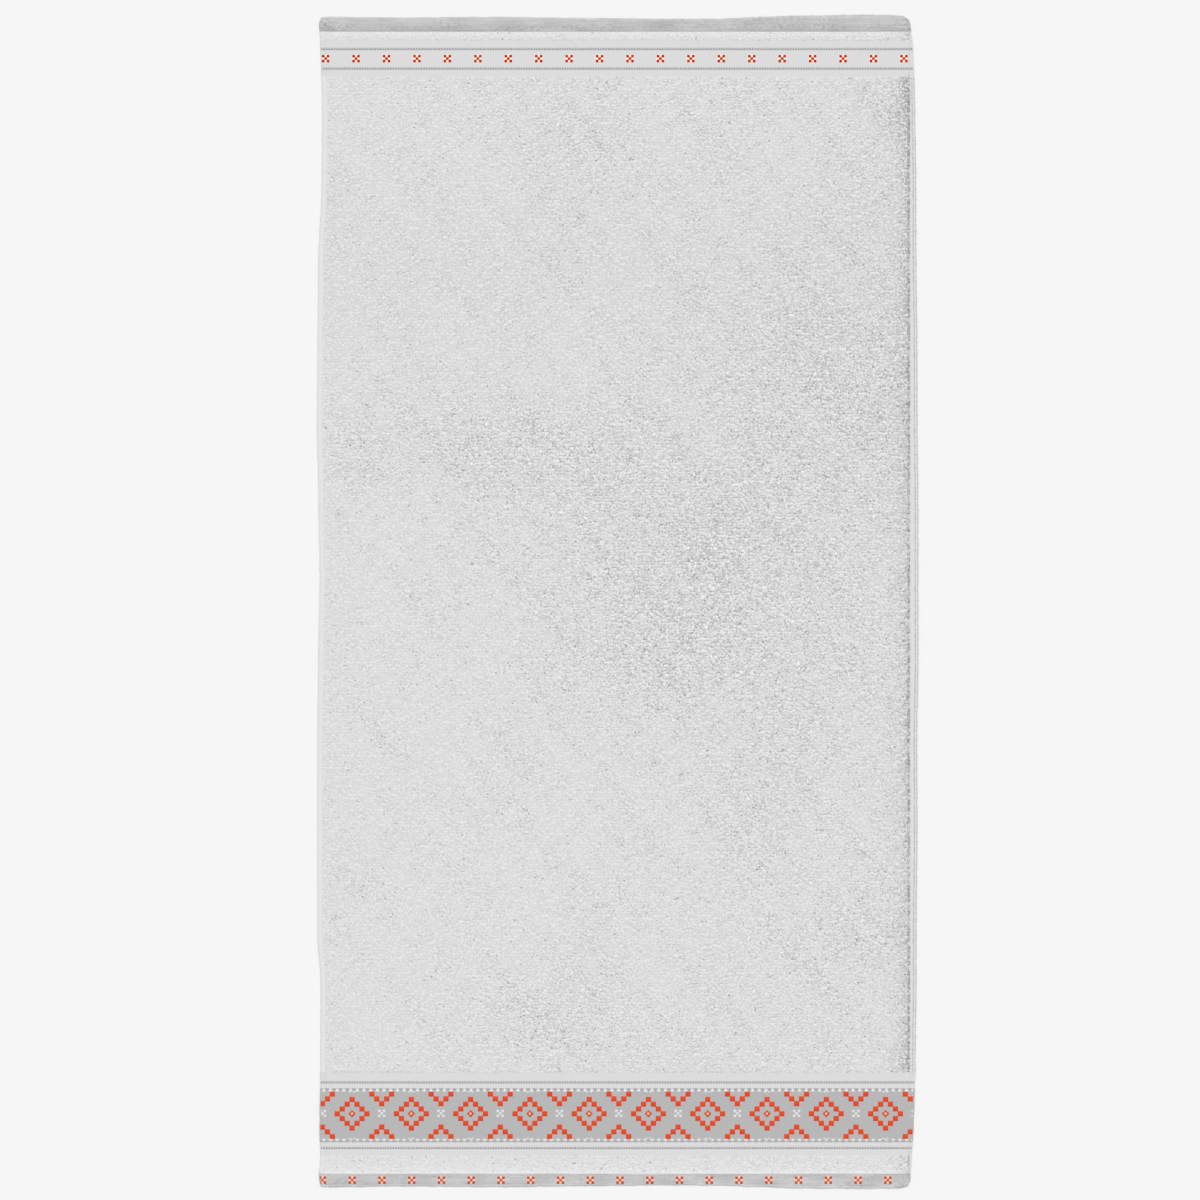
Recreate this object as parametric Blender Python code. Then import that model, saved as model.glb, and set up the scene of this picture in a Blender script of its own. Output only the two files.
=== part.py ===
"""Bath towel, lying flat and face up.

The towel is one length of terry cloth, woven in one piece: a pile body, a flat-woven border near
each end, a narrow strip of pile beyond each border, and a flat-woven heading at each end. The
headings are folded under twice and sewn as end hems. The long sides are turned and sewn as narrow
side hems, with a stitched ditch between each of them and the pile.

Frame: metres, +Z up. X runs across the towel and Y along it, with the narrow upper border at +Y.
The origin is on the underside, which is flat, at the middle of the towel.
"""

import math

import bmesh
import bpy

# Along the towel, from each end's mean fold line inwards
END_LINE = 0.6970
UPPER_HEM = 0.0185
UPPER_PILE_STRIP = 0.0101
UPPER_BORDER = 0.0440
LOWER_HEM = 0.0166
LOWER_PILE_STRIP = 0.0208
LOWER_BORDER = 0.0999

# Across the towel: the left hem keeps its width, and the right one is sewn along a straight line
LEFT_HEM_WIDTH = 0.0042
RIGHT_STITCH_LINE = 0.3458
LEAST_HEM_WIDTH = 0.0030

# Heights above the surface that the towel lies on
PILE_HEIGHT = 0.0046
BORDER_HEIGHT = 0.0028
END_HEM_HEIGHT = 0.0037
SIDE_HEM_HEIGHT = 0.0034
DITCH_HEIGHT = 0.0021

# How far the flat underside stays inside the rounded fold, and the corners' radii
UNDERSIDE_INSET = 0.0008
CORNER_RADII = {
    "upper left": 0.0060,
    "upper right": 0.0110,
    "lower left": 0.0050,
    "lower right": 0.0110,
}

# Spacing of the sections across and along the pile body
FIELD_SPACING = 0.0300

# The long edges: how far the left and right folds lie from the centre line, at places along it
SIDE_EDGES = (
    # along, left, right
    (-0.6970, 0.3550, 0.3486),
    (-0.6834, 0.3562, 0.3493),
    (-0.6644, 0.3544, 0.3506),
    (-0.6406, 0.3555, 0.3526),
    (-0.5454, 0.3544, 0.3551),
    (-0.4502, 0.3540, 0.3562),
    (-0.4026, 0.3578, 0.3562),
    (-0.2598, 0.3582, 0.3574),
    (-0.1646, 0.3578, 0.3570),
    (-0.0694, 0.3570, 0.3586),
    (0.0258, 0.3551, 0.3584),
    (0.1210, 0.3566, 0.3584),
    (0.2162, 0.3585, 0.3574),
    (0.3114, 0.3576, 0.3572),
    (0.4066, 0.3568, 0.3560),
    (0.5018, 0.3526, 0.3558),
    (0.5970, 0.3523, 0.3545),
    (0.6589, 0.3545, 0.3525),
    (0.6874, 0.3556, 0.3493),
    (0.6970, 0.3550, 0.3470),
)

# The short edges: how far each fold swings out from its mean line, at places across
END_EDGES = (
    # across, upper, lower
    (-0.3426, 0.0001, 0.0008),
    (-0.2593, -0.0009, -0.0003),
    (-0.1403, 0.0000, 0.0006),
    (-0.0213, -0.0015, -0.0008),
    (0.0501, -0.0023, -0.0016),
    (0.1215, -0.0023, -0.0013),
    (0.1691, 0.0001, 0.0006),
    (0.2167, 0.0015, 0.0022),
    (0.2881, 0.0022, 0.0025),
    (0.3119, 0.0033, 0.0033),
    (0.3357, 0.0014, 0.0019),
)

# Section through a side hem, from its fold to the stitch line
SIDE_HEM_SECTION = (
    # share of the hem's width, share of its height
    (0.00, 0.42),
    (0.07, 0.72),
    (0.20, 0.92),
    (0.42, 1.00),
    (0.78, 0.93),
)

# Section from the stitch line of a side hem into the field
DITCH_SECTION = (
    # distance inwards, share of the ditch's height, share of the field's height
    (0.0000, 1.00, 0.00),
    (0.0018, 0.32, 0.68),
    (0.0045, 0.06, 0.92),
    (0.0090, 0.00, 1.00),
)

# Section through an end hem, from its fold inwards. The dip is the stitching.
END_HEM_SECTION = (
    # share of the hem's width, share of its height
    (0.00, 0.42),
    (0.03, 0.74),
    (0.09, 0.93),
    (0.20, 1.00),
    (0.34, 0.99),
    (0.55, 0.97),
    (0.78, 1.00),
    (0.86, 0.84),
    (0.92, 0.98),
)

# How the step between two bands is rounded, measured into the higher band
STEP_SECTION = (
    # distance, share of the step's height
    (-0.0008, 0.00),
    (0.0006, 0.60),
    (0.0024, 0.93),
    (0.0055, 1.00),
)

# Soft folds and hollows in the cloth as it lies. Turn is in degrees from the towel's length, and
# a rise below zero is a trough.
FOLDS = (
    # name, across, along, length, width, turn, rise
    ("middle crease, upper end", -0.043, 0.235, 0.170, 0.026, -4.0, -0.0007),
    ("middle crease, lower end", -0.020, 0.030, 0.260, 0.030, -3.0, -0.0008),
    ("right crease", 0.196, 0.180, 0.280, 0.034, 2.0, -0.0007),
    ("upper left crease", -0.067, 0.555, 0.130, 0.028, 0.0, -0.0006),
    ("left hollow", -0.180, 0.140, 0.120, 0.070, 65.0, -0.0006),
    ("right hollow", 0.110, 0.060, 0.180, 0.070, 70.0, -0.0007),
    ("lower left hollow", -0.078, -0.475, 0.120, 0.050, 20.0, -0.0005),
    ("lower right crease", 0.314, -0.392, 0.060, 0.012, 58.0, -0.0007),
    ("upper left rise", -0.210, 0.440, 0.300, 0.140, 15.0, 0.0005),
    ("lower middle rise", 0.040, -0.240, 0.320, 0.160, -20.0, 0.0006),
    ("right rise", 0.270, -0.060, 0.260, 0.080, 10.0, 0.0005),
)

# The cloth's own colour and finish
CLOTH_COLOUR = (0.74, 0.74, 0.73, 1.0)
CLOTH_ROUGHNESS = 0.95
SHARPEST_SMOOTH_EDGE = 50.0


def value_at(table, position, column):
    """A table's column at a position, eased from row to row as the edge of a soft cloth swings."""
    if position <= table[0][0]:
        return table[0][column]
    for before, after in zip(table, table[1:]):
        if position <= after[0]:
            share = (position - before[0]) / (after[0] - before[0])
            eased = 0.5 - 0.5 * math.cos(math.pi * share)
            return before[column] + (after[column] - before[column]) * eased
    return table[-1][column]


def corner_inset(radius, from_end):
    """How far a rounded corner draws the long edge in, at a distance from the end's fold."""
    if from_end >= radius:
        return 0.0
    return radius - math.sqrt(max(radius**2 - (radius - from_end) ** 2, 0.0))


def left_lines(along):
    """Where the left fold and its stitch line are, at a place along the towel."""
    fold = value_at(SIDE_EDGES, along, 1)
    fold -= corner_inset(CORNER_RADII["lower left"], END_LINE + along)
    fold -= corner_inset(CORNER_RADII["upper left"], END_LINE - along)
    return -fold, -fold + LEFT_HEM_WIDTH


def right_lines(along):
    """Where the right fold and its stitch line are, at a place along the towel."""
    fold = value_at(SIDE_EDGES, along, 2)
    fold -= corner_inset(CORNER_RADII["lower right"], END_LINE + along)
    fold -= corner_inset(CORNER_RADII["upper right"], END_LINE - along)
    return fold, min(RIGHT_STITCH_LINE, fold - LEAST_HEM_WIDTH)


def hem_rows(width, side):
    """Rows of one end hem. side is +1 at the upper end and -1 at the lower one."""
    rows = []
    for width_share, height_share in END_HEM_SECTION:
        along = side * (END_LINE - width * width_share)
        rows.append({"along": along, "field": END_HEM_HEIGHT, "side": side, "swing": 1.0 - width_share,
                     "rim": height_share})
    return rows


def plain_row(along, field):
    """A row away from the ends, at its height."""
    return {"along": along, "field": field, "side": 0, "swing": 0.0, "rim": 1.0}


def step_rows(along, low, high, towards):
    """Rows of a rounded step. towards is +1 where the higher band lies on the +Y side."""
    return [plain_row(along + towards * distance, low + (high - low) * share)
            for distance, share in STEP_SECTION]


def band_rows(start, end, field):
    """Evenly spaced rows inside a band, without its ends."""
    count = max(int(round((end - start) / FIELD_SPACING)), 1)
    return [plain_row(start + (end - start) * index / count, field) for index in range(1, count)]


def towel_rows():
    """All rows, from the lower end to the upper one.

    A row has its place along the towel, the height of the cloth's field, the end whose fold line
    it swings with and how much, and a rim share that is under 1 where an end's fold is rounded.
    """
    lower_strip = -END_LINE + LOWER_HEM
    lower_border = lower_strip + LOWER_PILE_STRIP
    body_start = lower_border + LOWER_BORDER
    upper_strip = END_LINE - UPPER_HEM
    upper_border = upper_strip - UPPER_PILE_STRIP
    body_end = upper_border - UPPER_BORDER

    rows = hem_rows(LOWER_HEM, -1)
    rows += step_rows(lower_strip, END_HEM_HEIGHT, PILE_HEIGHT, 1)
    rows += step_rows(lower_border, BORDER_HEIGHT, PILE_HEIGHT, -1)
    rows += band_rows(lower_border, body_start, BORDER_HEIGHT)
    rows += step_rows(body_start, BORDER_HEIGHT, PILE_HEIGHT, 1)
    rows += band_rows(body_start, body_end, PILE_HEIGHT)
    rows += step_rows(body_end, BORDER_HEIGHT, PILE_HEIGHT, -1)
    rows += band_rows(body_end, upper_border, BORDER_HEIGHT)
    rows += step_rows(upper_border, BORDER_HEIGHT, PILE_HEIGHT, 1)
    rows += step_rows(upper_strip, END_HEM_HEIGHT, PILE_HEIGHT, -1)
    rows += hem_rows(UPPER_HEM, 1)
    return sorted(rows, key=lambda row: row["along"])


def section_across(along, field):
    """Places and heights across one row, from the left fold to the right one."""
    left_fold, left_stitch = left_lines(along)
    right_fold, right_stitch = right_lines(along)
    ditch = min(DITCH_HEIGHT, field)
    left = []
    right = []
    for share, height in SIDE_HEM_SECTION:
        left.append((left_fold + (left_stitch - left_fold) * share, SIDE_HEM_HEIGHT * height))
        right.append((right_fold + (right_stitch - right_fold) * share, SIDE_HEM_HEIGHT * height))
    for distance, ditch_share, field_share in DITCH_SECTION:
        height = ditch * ditch_share + field * field_share
        left.append((left_stitch + distance, height))
        right.append((right_stitch - distance, height))
    start = left[-1][0]
    end = right[-1][0]
    count = int(round(2.0 * RIGHT_STITCH_LINE / FIELD_SPACING))
    middle = [(start + (end - start) * index / count, field) for index in range(1, count)]
    return left + middle + right[::-1]


def fold_rise(across, along):
    """Height that the soft folds and hollows add at a point of the cloth's field."""
    rise = 0.0
    for _, fold_across, fold_along, length, width, turn, height in FOLDS:
        angle = math.radians(turn)
        off_across = across - fold_across
        off_along = along - fold_along
        over = off_across * math.cos(angle) + off_along * math.sin(angle)
        down = off_along * math.cos(angle) - off_across * math.sin(angle)
        rise += height * math.exp(-((over / (0.5 * width)) ** 2) - (down / (0.5 * length)) ** 2)
    return rise


def add_top(mesh):
    """The upper side of the cloth as a grid of rows, each running from left to right."""
    top = []
    for row in towel_rows():
        line = []
        for across, height in section_across(row["along"], row["field"]):
            along = row["along"]
            if row["side"] > 0:
                along += row["swing"] * value_at(END_EDGES, across, 1)
            if row["side"] < 0:
                along -= row["swing"] * value_at(END_EDGES, across, 2)
            height += fold_rise(across, along) * height / PILE_HEIGHT
            line.append(mesh.verts.new((across, along, height * row["rim"])))
        top.append(line)
    for lower, upper in zip(top, top[1:]):
        for index in range(len(lower) - 1):
            mesh.faces.new((lower[index], lower[index + 1], upper[index + 1], upper[index]))
    return top


def add_underside(mesh, top):
    """The lower half of the rounded folds, and the flat face that the towel rests on."""
    rim = top[0] + [line[-1] for line in top[1:-1]] + top[-1][::-1]
    rim += [line[0] for line in top[-2:0:-1]]
    underside = []
    for index, vertex in enumerate(rim):
        ahead = rim[(index + 1) % len(rim)].co
        behind = rim[index - 1].co
        run = (ahead - behind).to_2d().normalized()
        across = vertex.co.x - run.y * UNDERSIDE_INSET
        along = vertex.co.y + run.x * UNDERSIDE_INSET
        underside.append(mesh.verts.new((across, along, 0.0)))
    for index, vertex in enumerate(rim):
        after = (index + 1) % len(rim)
        mesh.faces.new((vertex, underside[index], underside[after], rim[after]))
    mesh.faces.new(underside[::-1])


def towel_mesh():
    """The towel as one closed mesh."""
    mesh = bmesh.new()
    add_underside(mesh, add_top(mesh))
    bmesh.ops.recalc_face_normals(mesh, faces=mesh.faces)
    data = bpy.data.meshes.new("towel")
    mesh.to_mesh(data)
    mesh.free()
    data.shade_smooth()
    data.set_sharp_from_angle(angle=math.radians(SHARPEST_SMOOTH_EDGE))
    return data


def terry_cloth():
    """Pale grey cotton."""
    material = bpy.data.materials.new("terry_cloth")
    material.use_nodes = True
    shader = material.node_tree.nodes["Principled BSDF"]
    shader.inputs["Base Color"].default_value = CLOTH_COLOUR
    shader.inputs["Roughness"].default_value = CLOTH_ROUGHNESS
    shader.inputs["Metallic"].default_value = 0.0
    return material


for old in list(bpy.data.objects):
    bpy.data.objects.remove(old, do_unlink=True)

towel = bpy.data.objects.new("towel", towel_mesh())
towel.data.materials.append(terry_cloth())
bpy.context.scene.collection.objects.link(towel)
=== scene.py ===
"""Bath towel, lying flat and face up: the look of every surface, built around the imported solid.

The towel is one length of white cotton terry. Its body is covered with pile loops. A narrow woven
border with red crosses lies near the upper end, and a wide one with orange diamonds near the lower
end. Beyond each border is a strip of pile, and then a flat heading, turned under and sewn as a hem.
Both long sides have narrow sewn hems. All sizes are in metres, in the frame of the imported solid.
"""

import math

import bpy
import numpy as np
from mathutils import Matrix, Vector
from mathutils.bvhtree import BVHTree


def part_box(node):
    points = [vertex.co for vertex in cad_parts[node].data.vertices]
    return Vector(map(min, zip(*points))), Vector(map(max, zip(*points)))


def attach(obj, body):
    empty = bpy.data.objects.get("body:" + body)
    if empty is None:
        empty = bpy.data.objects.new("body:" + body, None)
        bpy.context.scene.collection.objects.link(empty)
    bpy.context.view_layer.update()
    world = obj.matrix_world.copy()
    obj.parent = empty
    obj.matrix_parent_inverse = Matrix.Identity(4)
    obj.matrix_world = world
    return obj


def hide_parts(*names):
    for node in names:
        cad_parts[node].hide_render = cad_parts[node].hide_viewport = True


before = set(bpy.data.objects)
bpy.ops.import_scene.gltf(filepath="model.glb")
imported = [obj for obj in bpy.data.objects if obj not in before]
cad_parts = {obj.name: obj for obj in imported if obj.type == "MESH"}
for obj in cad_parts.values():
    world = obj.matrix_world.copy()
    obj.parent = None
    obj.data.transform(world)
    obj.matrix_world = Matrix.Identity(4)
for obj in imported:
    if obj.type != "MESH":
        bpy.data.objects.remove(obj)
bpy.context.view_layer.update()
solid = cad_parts["towel"]
lowest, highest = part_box("towel")

# Cloth.
# One thin length of cotton, woven with its headings and borders flat and its body ready for pile.
# It lies on the solid's outline and soft folds, with the turned hems standing as low ridges.

# Where one band gives way to the next along the towel, before its ends' folds swing to and fro
UPPER_FOLD = 0.6970
UPPER_HEM_LINE = 0.6785
UPPER_STRIP_LINE = 0.6684
BODY_TOP_LINE = 0.6244
BODY_FOOT_LINE = -0.5597
LOWER_STRIP_LINE = -0.6596
LOWER_HEM_LINE = -0.6804
LOWER_FOLD = -0.6970

# Heights of the woven ground above the floor, and how softly one band steps to the next
HEM_HEIGHT = 0.0037
TERRY_HEIGHT = 0.0029
BORDER_HEIGHT = 0.0028
STEP_SOFTNESS = 0.0020
BAND_STEPS = (
    # line, height below it, height above it
    (LOWER_HEM_LINE, HEM_HEIGHT, TERRY_HEIGHT),
    (LOWER_STRIP_LINE, TERRY_HEIGHT, BORDER_HEIGHT),
    (BODY_FOOT_LINE, BORDER_HEIGHT, TERRY_HEIGHT),
    (BODY_TOP_LINE, TERRY_HEIGHT, BORDER_HEIGHT),
    (UPPER_STRIP_LINE, BORDER_HEIGHT, TERRY_HEIGHT),
    (UPPER_HEM_LINE, TERRY_HEIGHT, HEM_HEIGHT),
)

# Every fold is widest at this height, where level rays find the solid's edge. Three of the folds lie
# a little inside it.
RIM_HEIGHT = 0.0013
RIGHT_INSET = 0.0006
LOWER_INSET = 0.0013
UPPER_INSET = 0.0004

# Section through a side edge where a flat border meets it
BORDER_EDGE = (
    # distance from the fold, height
    (0.0000, 0.0013),
    (0.0003, 0.0019),
    (0.0008, 0.0024),
    (0.0016, 0.0027),
    (0.0028, 0.0028),
)
BORDER_EDGE_REACH = 0.020
BORDER_EDGE_SOFTNESS = 0.003

# Section through an end hem, from its fold inwards
END_FOLD = (
    # distance from the fold, share of the rise above the rim
    (0.0000, 0.00),
    (0.0002, 0.26),
    (0.0006, 0.50),
    (0.0013, 0.74),
    (0.0024, 0.91),
    (0.0042, 1.00),
)

# Section through the left hem, from its fold inwards
LEFT_HEM = (
    # distance from the fold, height of the hem, share of the field's height
    (0.0000, 0.0013, 0.00),
    (0.0002, 0.0018, 0.00),
    (0.0006, 0.0023, 0.00),
    (0.0013, 0.0028, 0.00),
    (0.0024, 0.0031, 0.00),
    (0.0042, 0.0031, 0.00),
    (0.0070, 0.0012, 0.58),
    (0.0120, 0.0003, 0.88),
    (0.0180, 0.0000, 1.00),
)

# Section through the right hem: a lower layer that peeps out past the ridge, and the sewn ditch
RIGHT_HEM = (
    # share of the way from the fold to the stitches, height
    (0.00, 0.0013),
    (0.03, 0.0017),
    (0.08, 0.0020),
    (0.16, 0.0022),
    (0.25, 0.0020),
    (0.31, 0.0019),
    (0.36, 0.0029),
    (0.44, 0.0035),
    (0.66, 0.0035),
    (0.84, 0.0029),
    (1.00, 0.0019),
)
RIGHT_DITCH = (
    # distance inwards from the stitches, share of the field's rise above the ditch
    (0.0000, 0.00),
    (0.0012, 0.25),
    (0.0030, 0.75),
    (0.0070, 1.00),
)
RIGHT_STITCH_LINE = 0.3466
LEAST_RIGHT_HEM = 0.0030
DITCH_HEIGHT = 0.0019

# Soft creases and hollows of the cloth as it lies. Turn is in degrees from the towel's length.
CREASES = (
    # name, across, along, length, width, turn, rise
    ("middle crease, upper end", -0.043, 0.235, 0.170, 0.026, -4.0, -0.0007),
    ("middle crease, lower end", -0.020, 0.030, 0.260, 0.030, -3.0, -0.0008),
    ("right crease", 0.196, 0.180, 0.280, 0.034, 2.0, -0.0007),
    ("upper left crease", -0.067, 0.555, 0.130, 0.028, 0.0, -0.0006),
    ("left hollow", -0.180, 0.140, 0.120, 0.070, 65.0, -0.0006),
    ("right hollow", 0.110, 0.060, 0.180, 0.070, 70.0, -0.0007),
    ("lower left hollow", -0.078, -0.475, 0.120, 0.050, 20.0, -0.0005),
    ("lower right crease", 0.314, -0.392, 0.060, 0.012, 58.0, -0.0007),
    ("upper left rise", -0.210, 0.440, 0.300, 0.140, 15.0, 0.0005),
    ("lower middle rise", 0.040, -0.240, 0.320, 0.160, -20.0, 0.0006),
    ("right rise", 0.270, -0.060, 0.260, 0.080, 10.0, 0.0005),
)

# Where the outline is measured: evenly, and ever more closely towards the corners
OUTSIDE = 1.0
EDGE_SPACING = 0.004
CORNER_REACH = 0.014
CORNER_STEPS = (0.0001, 0.0004, 0.0009, 0.0016, 0.0025, 0.0038, 0.0055, 0.0080, 0.0110)


def outline():
    """Finds the solid's lower and upper edges, and its left and right ones, with level rays."""
    tree = BVHTree.FromObject(solid, bpy.context.evaluated_depsgraph_get())

    def hit(across, along, run_across, run_along):
        start = Vector((across, along, RIM_HEIGHT))
        return tree.ray_cast(start, Vector((run_across, run_along, 0.0)))[0]

    across = np.arange(lowest.x + CORNER_REACH, highest.x - CORNER_REACH, EDGE_SPACING)
    lower = np.array([hit(x, -OUTSIDE, 0.0, 1.0).y for x in across])
    upper = np.array([hit(x, OUTSIDE, 0.0, -1.0).y for x in across])
    sides = []
    for start, run, corner in ((-OUTSIDE, 1.0, 0), (OUTSIDE, -1.0, -1)):
        foot = lower[corner] + np.array(CORNER_STEPS)
        head = upper[corner] - np.array(CORNER_STEPS[::-1])
        middle = np.arange(foot[-1] + EDGE_SPACING, head[0] - EDGE_SPACING, EDGE_SPACING)
        along = np.concatenate([foot, middle, head])
        sides.append((along, np.array([hit(start, y, run, 0.0).x for y in along])))
    return across, lower, upper, sides[0], sides[1]


edge_across, lower_edge, upper_edge, left_edge, right_edge = outline()

# Fine unevenness, as waves: how high, how long, and the seed of their chances
LEFT_FOLD_WAVES = (0.0002, (0.011, 0.019, 0.034), 3)
RIGHT_FOLD_WAVES = (0.0002, (0.012, 0.021, 0.037), 4)
UPPER_FOLD_WAVES = (0.0002, (0.012, 0.019, 0.031), 7)
LOWER_FOLD_WAVES = (0.0003, (0.012, 0.017, 0.029, 0.045), 8)
END_HEM_WRINKLES = (0.00015, (0.016, 0.027, 0.043, 0.090), 5)
SIDE_HEM_PUCKERS = (0.00012, (0.009, 0.013, 0.023), 6)
WRINKLE_SLANT = 0.3
PUCKERED_WIDTH = 0.004


def waves(places, size, wavelengths, seed):
    """Uneven waves of about one size over one or two coordinates, the same on every run."""
    chance = np.random.default_rng(seed)
    total = 0.0
    for wavelength in wavelengths:
        turn = chance.uniform(0.0, 2.0 * math.pi)
        phase = chance.uniform(0.0, 2.0 * math.pi)
        way = places[0]
        if len(places) == 2:
            way = places[0] * math.cos(turn) + places[1] * math.sin(turn)
        total = total + np.sin(way * (2.0 * math.pi / wavelength) + phase)
    return total * size / math.sqrt(len(wavelengths))


def left_fold(laid):
    """The left edge of the cloth at places along the towel as it lies."""
    return np.interp(laid, *left_edge) + waves([laid], *LEFT_FOLD_WAVES)


def right_fold(laid):
    """The right edge of the cloth at places along the towel as it lies."""
    return np.interp(laid, *right_edge) - RIGHT_INSET + waves([laid], *RIGHT_FOLD_WAVES)


def right_stitches(laid):
    """Where the right hem is sewn down."""
    return np.minimum(RIGHT_STITCH_LINE, right_fold(laid) - LEAST_RIGHT_HEM)


def fold_swings(across):
    """How far the upper and the lower fold lie from their straight lines."""
    upper = np.interp(across, edge_across, upper_edge) - UPPER_INSET - UPPER_FOLD
    lower = np.interp(across, edge_across, lower_edge) + LOWER_INSET - LOWER_FOLD
    return upper + waves([across], *UPPER_FOLD_WAVES), lower + waves([across], *LOWER_FOLD_WAVES)


def laid_along(across, along):
    """Where a point of the straight cloth lies along the towel, once the ends' folds have swung."""
    upper, lower = fold_swings(across)
    near_upper = np.clip((along - UPPER_HEM_LINE) / (UPPER_FOLD - UPPER_HEM_LINE), 0.0, None)
    near_lower = np.clip((along - LOWER_HEM_LINE) / (LOWER_FOLD - LOWER_HEM_LINE), 0.0, None)
    return along + upper * near_upper + lower * near_lower


def straight_along(across, laid):
    """The reverse of laid_along."""
    upper, lower = fold_swings(across)
    upper_stretch = 1.0 + upper / (UPPER_FOLD - UPPER_HEM_LINE)
    lower_stretch = 1.0 + lower / (LOWER_FOLD - LOWER_HEM_LINE)
    in_upper = UPPER_HEM_LINE + (laid - UPPER_HEM_LINE) / upper_stretch
    in_lower = LOWER_HEM_LINE + (laid - LOWER_HEM_LINE) / lower_stretch
    return np.where(laid > UPPER_HEM_LINE, in_upper, np.where(laid < LOWER_HEM_LINE, in_lower, laid))


def value_at(table, places, index=1):
    """One column of a table, read at places between its rows by the first column."""
    columns = list(zip(*table))
    return np.interp(places, columns[0], columns[index])


def ground_height(across, along):
    """Height of the woven ground on the straight cloth."""
    height = np.full(np.broadcast(across, along).shape, HEM_HEIGHT)
    for line, below, above in BAND_STEPS:
        share = np.clip((along - line) / STEP_SOFTNESS + 0.5, 0.0, 1.0)
        height = height + (above - below) * share * share * (3.0 - 2.0 * share)
    for _, fold_across, fold_along, length, width, turn, rise in CREASES:
        angle = math.radians(turn)
        off_across = across - fold_across
        off_along = along - fold_along
        over = (off_across * math.cos(angle) + off_along * math.sin(angle)) / (0.5 * width)
        down = (off_along * math.cos(angle) - off_across * math.sin(angle)) / (0.5 * length)
        height = height + rise * np.exp(-over * over - down * down)
    return height


def border_share(along):
    """1 on the two flat borders, 0 on the pile and the end hems."""
    in_lower = np.minimum(along - LOWER_STRIP_LINE, BODY_FOOT_LINE - along)
    in_upper = np.minimum(along - BODY_TOP_LINE, UPPER_STRIP_LINE - along)
    return np.clip(np.maximum(in_lower, in_upper) / BORDER_EDGE_SOFTNESS, 0.0, 1.0)


def side_hem_height(across, laid, field):
    """Height across the towel: the left hem, the field's height between, the ditch and the right hem."""
    from_left = np.maximum(across - left_fold(laid), 0.0)
    height = value_at(LEFT_HEM, from_left) + field * value_at(LEFT_HEM, from_left, 2)
    fold = right_fold(laid)
    stitches = right_stitches(laid)
    height = DITCH_HEIGHT + (height - DITCH_HEIGHT) * value_at(RIGHT_DITCH, stitches - across)
    inwards = (fold - across) / (fold - stitches)
    height = np.where(across > stitches, value_at(RIGHT_HEM, inwards), height)
    puckered = (across > stitches) | (from_left < PUCKERED_WIDTH)
    return height + np.where(puckered, waves([laid], *SIDE_HEM_PUCKERS), 0.0)


def cloth_height(across, along):
    """Height of the cloth's face, hems and folded edges included."""
    laid = laid_along(across, along)
    height = side_hem_height(across, laid, ground_height(across, along))
    from_left = np.maximum(across - left_fold(laid), 0.0)
    from_side = np.minimum(from_left, np.maximum(right_fold(laid) - across, 0.0))
    flat = value_at(BORDER_EDGE, from_side)
    height = np.where(from_side < BORDER_EDGE_REACH, height + (flat - height) * border_share(along), height)
    in_end_hem = (along > UPPER_HEM_LINE) | (along < LOWER_HEM_LINE)
    height = height + np.where(in_end_hem, waves([across + WRINKLE_SLANT * along], *END_HEM_WRINKLES), 0.0)
    from_end = np.minimum(UPPER_FOLD - along, along - LOWER_FOLD)
    return RIM_HEIGHT + (height - RIM_HEIGHT) * value_at(END_FOLD, from_end)


# Spacing of the cloth's rows: fine over the steps between bands and at the folds
STEP_REACH = 0.0015
STEP_SPACING = 0.0006
BAND_SPACINGS = (
    # line, spacing beyond it
    (LOWER_HEM_LINE, 0.0025),
    (LOWER_STRIP_LINE, 0.0040),
    (BODY_FOOT_LINE, 0.0050),
    (BODY_TOP_LINE, 0.0040),
    (UPPER_STRIP_LINE, 0.0020),
    (UPPER_HEM_LINE, 0.0013),
)
FOLD_SPACINGS = (
    # distance from the lower or the upper fold, spacing beyond it
    (0.0000, 0.0002),
    (0.0006, 0.0006),
    (0.0024, 0.0013),
)
LEFT_COLUMNS = (0.0, 0.0002, 0.0006, 0.0013, 0.0024, 0.0042, 0.0056, 0.0070, 0.0095, 0.0120, 0.0150, 0.0180)
DITCH_COLUMNS = (0.0012, 0.0030, 0.0050, 0.0070)
FIELD_COLUMNS = 130
UNDERSIDE_INSET = 0.0003


def row_places():
    """Where the rows of the cloth's grid lie along the straight cloth, from fold to fold."""
    stops = [(LOWER_FOLD + distance, spacing) for distance, spacing in FOLD_SPACINGS]
    for line, spacing in BAND_SPACINGS:
        stops += [(line - STEP_REACH, STEP_SPACING), (line + STEP_REACH, spacing)]
    for (_, spacing), (distance, _) in reversed(list(zip(FOLD_SPACINGS, FOLD_SPACINGS[1:]))):
        stops.append((UPPER_FOLD - distance, spacing))
    stops.append((UPPER_FOLD, 0.0))
    places = [np.array([LOWER_FOLD])]
    for (start, spacing), (end, _) in zip(stops, stops[1:]):
        count = max(int(round((end - start) / spacing)), 1)
        places.append(np.linspace(start, end, count + 1)[1:])
    return np.concatenate(places)


def row_across(along):
    """Places of one row of the cloth's grid, from the left fold to the right one."""
    left = left_fold(laid_along(lowest.x, along)) + np.array(LEFT_COLUMNS)
    laid = laid_along(highest.x, along)
    fold = right_fold(laid)
    stitches = right_stitches(laid)
    hem = fold + (stitches - fold) * np.array([share for share, _ in RIGHT_HEM])
    ditch = stitches - np.array(DITCH_COLUMNS)
    right = np.concatenate([hem, ditch])[::-1]
    field = np.linspace(left[-1], right[0], FIELD_COLUMNS + 1)[1:-1]
    return np.concatenate([left, field, right])


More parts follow.
